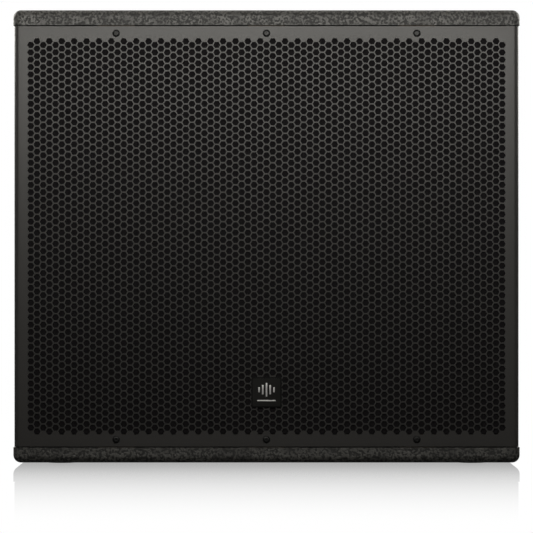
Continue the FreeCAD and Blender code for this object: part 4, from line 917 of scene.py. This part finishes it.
    def _build_badge(self) -> None:
        """Makes the square badge: a low rim, whose near-black colour is partly painted shade of a gap round
        the face, a raised satin face and a mark of upright bars.
        """
        plate = Extent.of("badge_plate")
        middle = plate.centre
        half = plate.size.x / 2
        place = facing((0, -1, 0), (middle.x, plate.high.y, middle.z))
        body = Shape()
        rings = [Ring(0.0, self._square(half, 1.6 * MM)), Ring(0.7 * MM, self._square(half, 1.6 * MM)),
                 Ring(0.85 * MM, self._square(half - 0.15 * MM, 1.5 * MM))]
        body.loft(rings, 64, place)
        # near-black rim: partly its own black, partly painted shade of a gap round the badge's face
        body.finish("badge_body", Palette.BADGE_RIM_GAP_SHADE, "cabinet", "badge_black", ["badge_plate"], sharp=28.0)
        face = Shape()
        edge = half - self.badge_rim
        rings = [Ring(0.6 * MM, self._square(edge, 0.8 * MM)), Ring(1.5 * MM, self._square(edge, 0.8 * MM)),
                 Ring(1.6 * MM, self._square(edge - 0.1 * MM, 0.7 * MM))]
        face.loft(rings, 64, place)
        face.finish("badge_face", Palette.BADGE_FACE, "cabinet", "badge_black", sharp=28.0)
        self._build_mark(plate.low.y)

    def _build_mark(self, front: float) -> None:
        """Makes the badge's mark: five upright bars over a line.

        Args:
            front: The y of the badge's face.
        """
        base = Extent.of("badge_emblem")
        unit = base.size.x / 22
        back = front - 0.1 * MM
        raised = front + self.badge_relief
        mark = Shape()
        for step, tall in zip(range(-2, 3), (6.0, 11.0, 16.0, 11.0, 6.0)):
            x = base.centre.x + step * 4.4 * unit
            z = base.high.z - 8.0 * unit
            mark.brick((x - 0.95 * unit, back, z - tall / 2 * unit),
                       (x + 0.95 * unit, raised, z + tall / 2 * unit), 0.12 * MM)
        mark.brick((base.low.x, back, base.low.z), (base.high.x, raised, base.low.z + 1.4 * unit), 0.12 * MM)
        mark.finish("badge_mark", Palette.EMBLEM, "cabinet", "badge_grey", ["badge_emblem"])

    @staticmethod
    def _square(half: float, corner: float) -> Callable[[float], float]:
        """Radius of a square with rounded corners as a function of angle, for a Ring.

        Args:
            half: Half of its side.
            corner: The radius of its corners.

        Returns:
            A function from an angle in radians to the square's radius.
        """

        def radius(angle: float) -> float:
            """The rounded square's radius.

            Args:
                angle: The angle in radians.

            Returns:
                The radius at that angle.
            """
            c, s = abs(math.cos(angle)), abs(math.sin(angle))
            flat = half / max(c, s)
            inner = half - corner
            dot = inner * (c + s)
            under = dot * dot - 2 * inner * inner + corner * corner
            if min(c, s) * flat <= inner:
                return flat
            return dot + math.sqrt(max(under, 0.0))

        return radius


# ------------------------------------------------------------------ the driver
@dataclass
class Driver:
    """The loudspeaker itself; its surround and spider, which stretch on the real driver as the cone moves,
    are made as fixed cloth meshes.
    """

    cloth: float = 0.9 * MM
    surround_lip: float = 186.0 * MM    # the surround's inner radius, on the cone
    humps: int = 2
    hump_height: float = 9.5 * MM
    humps_from: float = 0.37            # where the humps begin and end, as shares of the way out
    humps_to: float = 0.78
    spider_waves: int = 6
    spider_height: float = 2.6 * MM
    clamped: float = 8.0 * MM           # width of the ring at the rim, where it is clamped to the basket
    carried: float = 4.0 * MM           # width of the ring at the middle, on the cone

    def build(self) -> None:
        """Dresses the rigid parts and makes the surround and the spider again as cloth meshes."""
        dress(Palette.CASTING, "driver_basket")
        dress(Palette.GASKET, "driver_gasket")
        dress(Palette.BLACK_SCREW, "driver_screws")
        dress(Palette.SOCKET, "driver_terminals")
        dress(Palette.FERRITE, "magnet")
        dress(Palette.PLATED, "top_plate", "back_plate")
        dress(Palette.CONE, "cone", "dust_cap")
        dress(Palette.FORMER, "voice_coil_former")
        dress(Palette.COPPER, "voice_coil")
        dress(Palette.LEAD, "speaker_leads")
        surround = Extent.of("surround")
        lip = surround.high.y - self.cloth
        self._stretchy("surround_roll", Palette.ROLL, "roll_cloth", "surround", self.surround_lip, 40,
                       lambda share: lip - self._humps(share) * self.hump_height)
        spider = Extent.of("spider")
        level = spider.centre.y
        start = Extent.of("voice_coil_former").size.x / 2 + 0.05 * MM
        self._stretchy("spider_disc", Palette.SPIDER, "spider_cloth", "spider", start, 72,
                       lambda share: level + self._ripple(share))

    def _humps(self, share: float) -> float:
        """Height of the rolled humps between the inner and outer lips, from 0 to 1."""
        across = (share - self.humps_from) / (self.humps_to - self.humps_from)
        return abs(math.sin(self.humps * math.pi * across)) ** 0.8 if 0.0 < across < 1.0 else 0.0

    def _ripple(self, share: float) -> float:
        """Offset of the spider's corrugations.

        Args:
            share: How far out it is, from 0 at the former to 1 at the rim.

        Returns:
            The offset along Y, which is 0 on the flat rim.
        """
        across = share / 0.9
        if across >= 1.0:
            return 0.0
        wave = math.sin(2 * math.pi * self.spider_waves * across)
        return self.spider_height * wave * math.sin(math.pi * across)

    def _stretchy(self, name: str, finish: Finish, slot: str, node: str, inner: float, steps: int,
                  level: Callable[[float], float]) -> None:
        """Makes a round cloth part by spinning an outline from its inner edge out to its rim.

        Args:
            name: The piece's name.
            finish: What it is made of.
            slot: The record's material slot.
            node: The CAD node that it stands for.
            inner: Its inner radius, at the cone.
            steps: How many steps the outline has.
            level: Its y at each share of the way out, from 0 to 1.
        """
        shape = Shape()
        bm = shape.bm
        extent = Extent.of(node)
        axis = extent.centre
        outer = extent.size.x / 2
        verts = [bm.verts.new((axis.x + inner + (outer - inner) * k / steps, level(k / steps), axis.z))
                 for k in range(steps + 1)]
        edges = [bm.edges.new(pair) for pair in zip(verts, verts[1:])]
        bmesh.ops.spin(bm, geom=verts + edges, cent=(axis.x, 0, axis.z), axis=(0, 1, 0),
                       angle=2 * math.pi, steps=96, use_merge=True)
        bmesh.ops.remove_doubles(bm, verts=bm.verts, dist=0.01 * MM)
        bmesh.ops.recalc_face_normals(bm, faces=bm.faces)
        bmesh.ops.solidify(bm, geom=list(bm.faces), thickness=self.cloth)
        piece = shape.finish(name, finish, "cabinet", slot, [node], sharp=60.0)
        piece.parent = None
        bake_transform(piece)


# ------------------------------------------------------------------ cabinet, handles and feet
@dataclass
class Carcass:
    """The plywood box with what is fixed to it."""

    bore: float = 8.65 * MM             # radius inside the thread
    bore_depth: float = 50.0 * MM
    barrel: float = 15.0 * MM           # radius
    thread_pitch: float = 2.5 * MM
    thread_depth: float = 1.2 * MM
    thread_step: float = 0.25 * MM
    mat_thickness: float = 28.0 * MM
    mat_lumps: float = 2.6 * MM         # how far the wadding's skin rises and falls
    mat_room: float = 3.0 * MM          # left round each mat for its lumps
    mat_seed: int = 18                  # keeps the lumps the same in every run

    def build(self) -> None:
        """Dresses the panels and makes the threaded socket and the mats."""
        dress(Palette.CABINET, "top_panel", "bottom_panel", "left_side_panel", "right_side_panel",
              "rear_panel", "front_baffle")
        dress(Palette.PLYWOOD, "port_panels", "window_brace", "grille_blocks")
        dress(Palette.HANDLE, "left_handle_cup", "right_handle_cup")
        dress(Palette.GRIP, "left_handle_grip", "right_handle_grip")
        dress(Palette.FOOT, "rubber_feet")
        dress(Palette.BLACK_SCREW, "countersunk_screws")
        self._build_pole_socket()
        self._build_mats()

    def _build_pole_socket(self) -> None:
        """Makes the steel socket again with real turns of thread in its bore."""
        extent = Extent.of("pole_socket")
        top = extent.high.z
        foot = extent.low.z
        under = top - 4 * MM
        flange = extent.size.x / 2
        bore = self.bore
        rings = [Ring(foot, self.barrel - 2 * MM), Ring(foot + 2 * MM, self.barrel),
                 Ring(under, self.barrel), Ring(under, flange),
                 Ring(top - 0.8 * MM, flange), Ring(top - 0.25 * MM, flange - 0.25 * MM),
                 Ring(top, flange - 0.8 * MM), Ring(top, bore + 2.4 * MM),
                 Ring(top - 0.5 * MM, bore + 1.9 * MM)]
        for step in range(int((self.bore_depth - 4 * MM) / self.thread_step)):
            height = top - 1.6 * MM - step * self.thread_step
            rings.append(Ring(height, self._thread(height)))
        rings += [Ring(top - self.bore_depth, bore), Ring(top - self.bore_depth, 1.0 * MM)]
        shape = Shape()
        shape.loft(rings, 36, Matrix.Translation((extent.centre.x, extent.centre.y, 0.0)))
        shape.finish("threaded_pole_socket", Palette.BLACK_SCREW, "cabinet", "socket_steel", ["pole_socket"],
                     sharp=40.0)

    def _thread(self, height: float) -> Callable[[float], float]:
        """Radius round the bore at one height, for a right-hand thread.

        Args:
            height: The z of the cut.

        Returns:
            A function from an angle in radians to the bore's radius.
        """

        def radius(angle: float) -> float:
            """The bore's radius at an angle."""
            share = (height / self.thread_pitch - angle / (2 * math.pi)) % 1.0
            return self.bore + self.thread_depth * min(1.0, max(0.0, 1.5 - 3.0 * abs(share - 0.5)))

        return radius

    def _build_mats(self) -> None:
        """Makes the two wadding mats on the side walls."""
        whole = Extent.of("damping_mats")
        inset = Vector((self.mat_room,) * 3)
        shape = Shape()
        for low_x in (whole.low.x, whole.high.x - self.mat_thickness):
            low = Vector((low_x, whole.low.y, whole.low.z))
            high = Vector((low_x + self.mat_thickness, whole.high.y, whole.high.z))
            start = len(shape.bm.verts)
            shape.brick(low + inset, high - inset)
            shape.bm.verts.ensure_lookup_table()
            bmesh.ops.subdivide_edges(shape.bm, edges=edges_at(shape.bm.verts[start:]), cuts=18,
                                      use_grid_fill=True)
        noise.seed_set(self.mat_seed)
        for vert in shape.bm.verts:
            vert.co += noise.noise_vector(vert.co * 28.0) * self.mat_lumps
        piece = shape.finish("wadding_mats", Palette.WADDING, "cabinet", "mat", ["damping_mats"], sharp=80.0)


# ------------------------------------------------------------------ the amplifier module
@dataclass
class AmpModule:
    """The module in the back: plate, controls, connectors and electronics."""

    print_lift: float = 0.08 * MM
    line: float = 0.5 * MM
    margin_across: float = 6.0 * MM     # between a group and its printed outline
    margin_up: float = 4.0 * MM
    dial: float = 15.0 * MM             # radius of the knob's ring of ticks
    pin_circle: float = 5.2 * MM        # radius on which an outlet's pins stand
    plate: Extent = field(default_factory=lambda: Extent.of("amp_panel"))

    def build(self) -> None:
        """Dresses the CAD nodes and adds the printing, the lit screen and the contacts."""
        dress(Palette.AMP_PLATE, "amp_panel")
        dress(Palette.GASKET, "amp_gasket")
        dress(Palette.BLACK_SCREW, "amp_screws", "connector_screws")
        dress(Palette.HEATSINK, "heatsink")
        dress(Palette.ZINC, "amp_chassis", "encoder_stem")
        dress(Palette.BOARD, "circuit_board", "control_board")
        dress(Palette.COMPONENTS, "board_components")
        dress(Palette.KNOB, "encoder_knob", "mains_rocker")
        dress(Palette.BUTTON, "menu_button_1", "menu_button_2", "menu_button_3")
        dress(Palette.LAMP, "status_leds")
        dress(Palette.DISPLAY, "display_window")
        dress(Palette.SOCKET, "input_sockets", "link_sockets", "network_socket", "mains_switch_frame")
        dress(Palette.INLET, "mains_inlet")
        dress(Palette.LATCH, "input_latch_1", "input_latch_2")
        self._build_printing()
        self._build_screen()
        self._build_contacts()

    @property
    def print_faces(self) -> tuple[float, float]:
        """The y of the printing's back, just inside the plate, and of its front."""
        return self.plate.high.y - 0.05 * MM, self.plate.high.y + self.print_lift

    def _build_printing(self) -> None:
        """Prints an outline round each group, a ring of ticks round the knob and signs by the buttons."""
        shape = Shape()
        for node in ("input_sockets", "link_sockets", "network_socket", "mains_inlet", "mains_switch_frame"):
            self._outline(shape, Extent.of(node))
        centre = Extent.of("encoder_knob").centre
        for degrees in range(-150, 151, 30):
            self._tick(shape, centre, math.radians(degrees))
        signs = ((3, math.pi / 2), (4, math.pi / 4), (3, -math.pi / 2))
        for number, (corners, turn) in enumerate(signs, start=1):
            self._sign(shape, Extent.of(f"menu_button_{number}").centre, corners, turn)
        shape.finish("panel_printing", Palette.PRINT, "cabinet", "badge_grey")

    def _outline(self, shape: Shape, group: Extent) -> None:
        """Prints a thin rectangle round a group of connectors.

        Args:
            shape: The mesh to add to.
            group: The space that the group fills.
        """
        back, front = self.print_faces
        t = self.line
        left, right = group.low.x - self.margin_across, group.high.x + self.margin_across
        low, high = group.low.z - self.margin_up, group.high.z + self.margin_up
        shape.brick((left, back, low), (right, front, low + t))
        shape.brick((left, back, high - t), (right, front, high))
        shape.brick((left, back, low + t), (left + t, front, high - t))
        shape.brick((right - t, back, low + t), (right, front, high - t))

    def _tick(self, shape: Shape, centre: Vector, turn: float) -> None:
        """Prints one tick of the knob's ring.

        Args:
            shape: The mesh to add to.
            centre: The knob's centre.
            turn: The tick's angle in radians, from straight up.
        """
        back, front = self.print_faces
        place = Vector((centre.x + math.sin(turn) * self.dial, 0, centre.z + math.cos(turn) * self.dial))
        before = set(shape.bm.verts)
        shape.brick((-0.3 * MM, back, -1.2 * MM), (0.3 * MM, front, 1.2 * MM))
        added = [v for v in shape.bm.verts if v not in before]
        bmesh.ops.rotate(shape.bm, cent=(0, 0, 0), matrix=Matrix.Rotation(turn, 3, "Y"), verts=added)
        bmesh.ops.translate(shape.bm, vec=place, verts=added)

    def _sign(self, shape: Shape, button: Vector, corners: int, turn: float) -> None:
        """Prints a small triangle or square under a button.

        Args:
            shape: The mesh to add to.
            button: The button's centre.
            corners: How many corners the sign has.
            turn: How far it is turned, in radians.
        """
        back, front = self.print_faces
        place = Matrix.Translation((button.x, back, button.z - 10 * MM))
        upright = Matrix.Rotation(-math.pi / 2, 4, "X") @ Matrix.Rotation(turn, 4, "Z")
        flat = bmesh.ops.create_circle(shape.bm, cap_ends=True, segments=corners, radius=1.9 * MM,
                                       matrix=place @ upright)
        faces = list({f for v in flat["verts"] for f in v.link_faces})
        raised = bmesh.ops.extrude_face_region(shape.bm, geom=faces, use_keep_orig=True)["geom"]
        bmesh.ops.translate(shape.bm, vec=(0, front - back, 0), verts=verts_of(raised))

    def _build_screen(self) -> None:
        """Draws a generic level picture in the display: bars over a base line and two meters."""
        window = Extent.of("display_window")
        shape = Shape()
        y = (window.high.y - 0.02 * MM, window.high.y + 0.06 * MM)
        left = window.low.x + 7 * MM
        base = window.low.z + 6 * MM
        wide = window.size.x - 14 * MM
        count = 16
        pitch = wide * 0.55 / count
        for bar in range(count):
            share = math.exp(-((bar - 4.5) / 5.0) ** 2)
            tall = (2.0 + 13.0 * share) * MM
            x = left + wide * 0.45 + bar * pitch
            shape.brick((x, y[0], base), (x + pitch * 0.62, y[1], base + tall))
        shape.brick((left, y[0], base - 1.6 * MM), (left + wide, y[1], base - 1.1 * MM))
        for row, share in enumerate((0.85, 0.6, 0.7)):
            z = base + (1.5 + 6.0 * row) * MM
            shape.brick((left, y[0], z), (left + wide * 0.36 * share, y[1], z + 3.0 * MM))
        shape.finish("display_picture", Palette.SCREEN_GLOW, "cabinet", "led")

    def _build_contacts(self) -> None:
        """Adds gold sleeves on the outlets' pins and gold leaves in the data socket."""
        links = Extent.of("link_sockets")
        half = 13.0 * MM
        shape = Shape()
        tip = self.plate.high.y - 3.0 * MM
        for x in (links.low.x + half, links.high.x - half):
            for degrees in (90, 210, 330):
                turn = math.radians(degrees)
                place = (x + self.pin_circle * math.cos(turn), tip,
                         links.centre.z - self.pin_circle * math.sin(turn))
                rings = [Ring(-14.0 * MM, 1.27 * MM), Ring(-0.6 * MM, 1.27 * MM), Ring(-0.1 * MM, 1.0 * MM),
                         Ring(0.15 * MM, 0.5 * MM), Ring(0.2 * MM, 0.15 * MM)]
                shape.loft(rings, 16, facing((0, 1, 0), place))
        data = Extent.of("network_socket").centre
        for leaf in range(8):
            x = data.x + (leaf - 3.5) * 1.02 * MM
            shape.brick((x - 0.25 * MM, self.plate.high.y - 13 * MM, data.z + 3.3 * MM),
                        (x + 0.25 * MM, self.plate.high.y - 3 * MM, data.z + 3.9 * MM))
        shape.finish("gold_contacts", Palette.CONTACT, "cabinet", "copper", sharp=50.0)


# ------------------------------------------------------------------ camera, floor and light
@dataclass(frozen=True)
class SoftBox:
    """One rectangular lamp, which the camera doesn't see."""

    name: str
    place: tuple[float, float, float]
    target: tuple[float, float, float]
    width: float
    height: float
    power: float
    tint: Colour = (1.0, 0.975, 0.915)

    def build(self) -> None:
        """Hangs the lamp."""
        data = bpy.data.lights.new(self.name, "AREA")
        data.shape = "RECTANGLE"
        data.size = self.width
        data.size_y = self.height
        data.energy = self.power
        data.color = self.tint
        lamp = bpy.data.objects.new(self.name, data)
        lamp.location = self.place
        aim = Vector(self.target) - Vector(self.place)
        lamp.rotation_euler = aim.to_track_quat("-Z", "Y").to_euler()
        lamp.visible_camera = False
        bpy.context.scene.collection.objects.link(lamp)


@dataclass
class Studio:
    """A white sweep, soft lights and a long lens straight in front of the cabinet."""

    distance: float = 4.6
    camera_height: float = 0.23433
    frame_width: float = 0.6306
    sensor: float = 36.0
    mirror: float = 0.57                # how much the floor reflects at the cabinet's foot
    mirror_reach: float = 1.1           # where that has faded out
    room: float = 0.015                 # light from the front half of the room
    backdrop: float = 0.08              # light from its rear half
    boxes: tuple[SoftBox, ...] = (
        SoftBox("key", (0.0, -1.4, 0.68), (0.0, 0.0, 0.93), 1.25, 0.45, 4.0),
        SoftBox("key_low", (0.0, -1.1, 0.66), (0.0, 0.0, 0.66), 1.25, 0.3, 4.5),
        SoftBox("left_rim", (-1.0, 0.35, 0.85), (-0.3, -0.25, 0.45), 0.4, 0.7, 6.5),
        SoftBox("right_rim", (1.0, 0.35, 0.85), (0.3, -0.25, 0.45), 0.4, 0.7, 6.5),
        SoftBox("left_strip", (-1.1, -0.22, 0.82), (-0.3, -0.28, 0.45), 0.25, 0.55, 2.4),
        SoftBox("right_strip", (1.1, -0.22, 0.82), (0.3, -0.28, 0.45), 0.25, 0.55, 2.4),
        SoftBox("overhead", (0.0, -0.1, 1.3), (0.0, -0.1, 0.0), 1.4, 0.6, 3.5),
        SoftBox("rear_left", (-0.9, 1.5, 0.9), (0.0, 0.3, 0.3), 0.6, 0.6, 11.0),
        SoftBox("rear_right", (0.9, 1.5, 0.7), (0.0, 0.3, 0.27), 0.6, 0.6, 8.0),
    )

    def build(self) -> None:
        """Makes the camera, the stage, the lights and the surroundings."""
        self._camera()
        self._floor()
        self._surroundings()
        for box in self.boxes:
            box.build()
        bpy.context.scene.view_settings.view_transform = "Standard"

    def _camera(self) -> None:
        """Sets up the camera, level and square to the front."""
        data = bpy.data.cameras.new("camera")
        data.sensor_width = self.sensor
        data.lens = self.sensor * self.distance / self.frame_width
        data.clip_end = 60.0
        camera = bpy.data.objects.new("camera", data)
        camera.location = (0.0, CAD_BOX[0].y - self.distance, self.camera_height)
        camera.rotation_euler = (math.pi / 2, 0.0, 0.0)
        bpy.context.scene.collection.objects.link(camera)
        bpy.context.scene.camera = camera

    def _floor(self) -> None:
        """Lays a white floor that mirrors the cabinet near its foot and is clear from below."""
        bm = bmesh.new()
        bmesh.ops.create_grid(bm, x_segments=1, y_segments=1, size=30.0,
                              matrix=Matrix.Translation((0.0, 0.0, -0.3 * MM)))
        mesh = bpy.data.meshes.new("floor")
        bm.to_mesh(mesh)
        bm.free()
        floor = bpy.data.objects.new("floor", mesh)
        bpy.context.scene.collection.objects.link(floor)
        mesh.materials.append(self._floor_material())
        floor.visible_diffuse = False
        floor.visible_glossy = False

    def _floor_material(self) -> bpy.types.Material:
        """Makes the floor's material.

        Returns:
            White, mixed with a mirror that fades with the distance from the cabinet's footprint.
        """
        material = bpy.data.materials.new("floor_white")
        material.use_nodes = True
        tree = material.node_tree
        tree.nodes.remove(tree.nodes["Principled BSDF"])
        graph = Graph(tree)
        place = graph.add("TexCoord").outputs["Object"]
        half = tuple((CAD_BOX[1] - CAD_BOX[0]) / 2)
        away = graph.add("VectorMath", {0: place}, operation="ABSOLUTE")
        outside = graph.add("VectorMath", {0: away.outputs[0]}, {1: (half[0], half[1], 0.0)},
                            operation="SUBTRACT")
        gap = graph.add("VectorMath", {0: outside.outputs[0]}, {1: (0.0, 0.0, 0.0)}, operation="MAXIMUM")
        distance = graph.add("VectorMath", {0: gap.outputs[0]}, operation="LENGTH").outputs["Value"]
        near = graph.ramp(distance, 0.0, self.mirror_reach, 1.0, 0.0)
        weight = graph.math("MULTIPLY", graph.math("MULTIPLY", near, near), self.mirror)
        white = graph.add("Emission", values={"Color": (1.0, 1.0, 1.0, 1.0), "Strength": 1.0})
        mirror = graph.add("BsdfGlossy", values={"Color": (1.0, 1.0, 1.0, 1.0), "Roughness": 0.0})
        seen = graph.add("MixShader", {0: weight, 1: white.outputs[0], 2: mirror.outputs[0]})
        clear = graph.add("BsdfTransparent")
        below = graph.add("NewGeometry").outputs["Backfacing"]
        both = graph.add("MixShader", {0: below, 1: seen.outputs[0], 2: clear.outputs[0]})
        tree.links.new(both.outputs[0], tree.nodes["Material Output"].inputs["Surface"])
        return material

    def _surroundings(self) -> None:
        """Makes the room: white to the eye, and giving less light from the front than from behind."""
        world = bpy.data.worlds.new("white_room")
        world.use_nodes = True
        tree = world.node_tree
        graph = Graph(tree)
        sky = tree.nodes["Background"]
        sky.inputs["Color"].default_value = (1.0, 1.0, 1.0, 1.0)
        way = graph.add("SeparateXYZ", {"Vector": graph.add("TexCoord").outputs["Generated"]}).outputs[1]
        given = graph.ramp(way, -0.2, 0.3, self.room, self.backdrop)
        path = graph.add("LightPath").outputs
        seen = graph.math("MAXIMUM", path["Is Camera Ray"], path["Is Singular Ray"])
        tree.links.new(graph.math("MAXIMUM", given, seen), sky.inputs["Strength"])
        bpy.context.scene.world = world


def main() -> None:
    """Builds every part of the scene in order."""
    logging.basicConfig(level=logging.INFO, format="%(name)s: %(message)s")
    Studio().build()
    FrontGrille().build()
    Driver().build()
    Carcass().build()
    AmpModule().build()


if __name__ == "__main__":
    main()
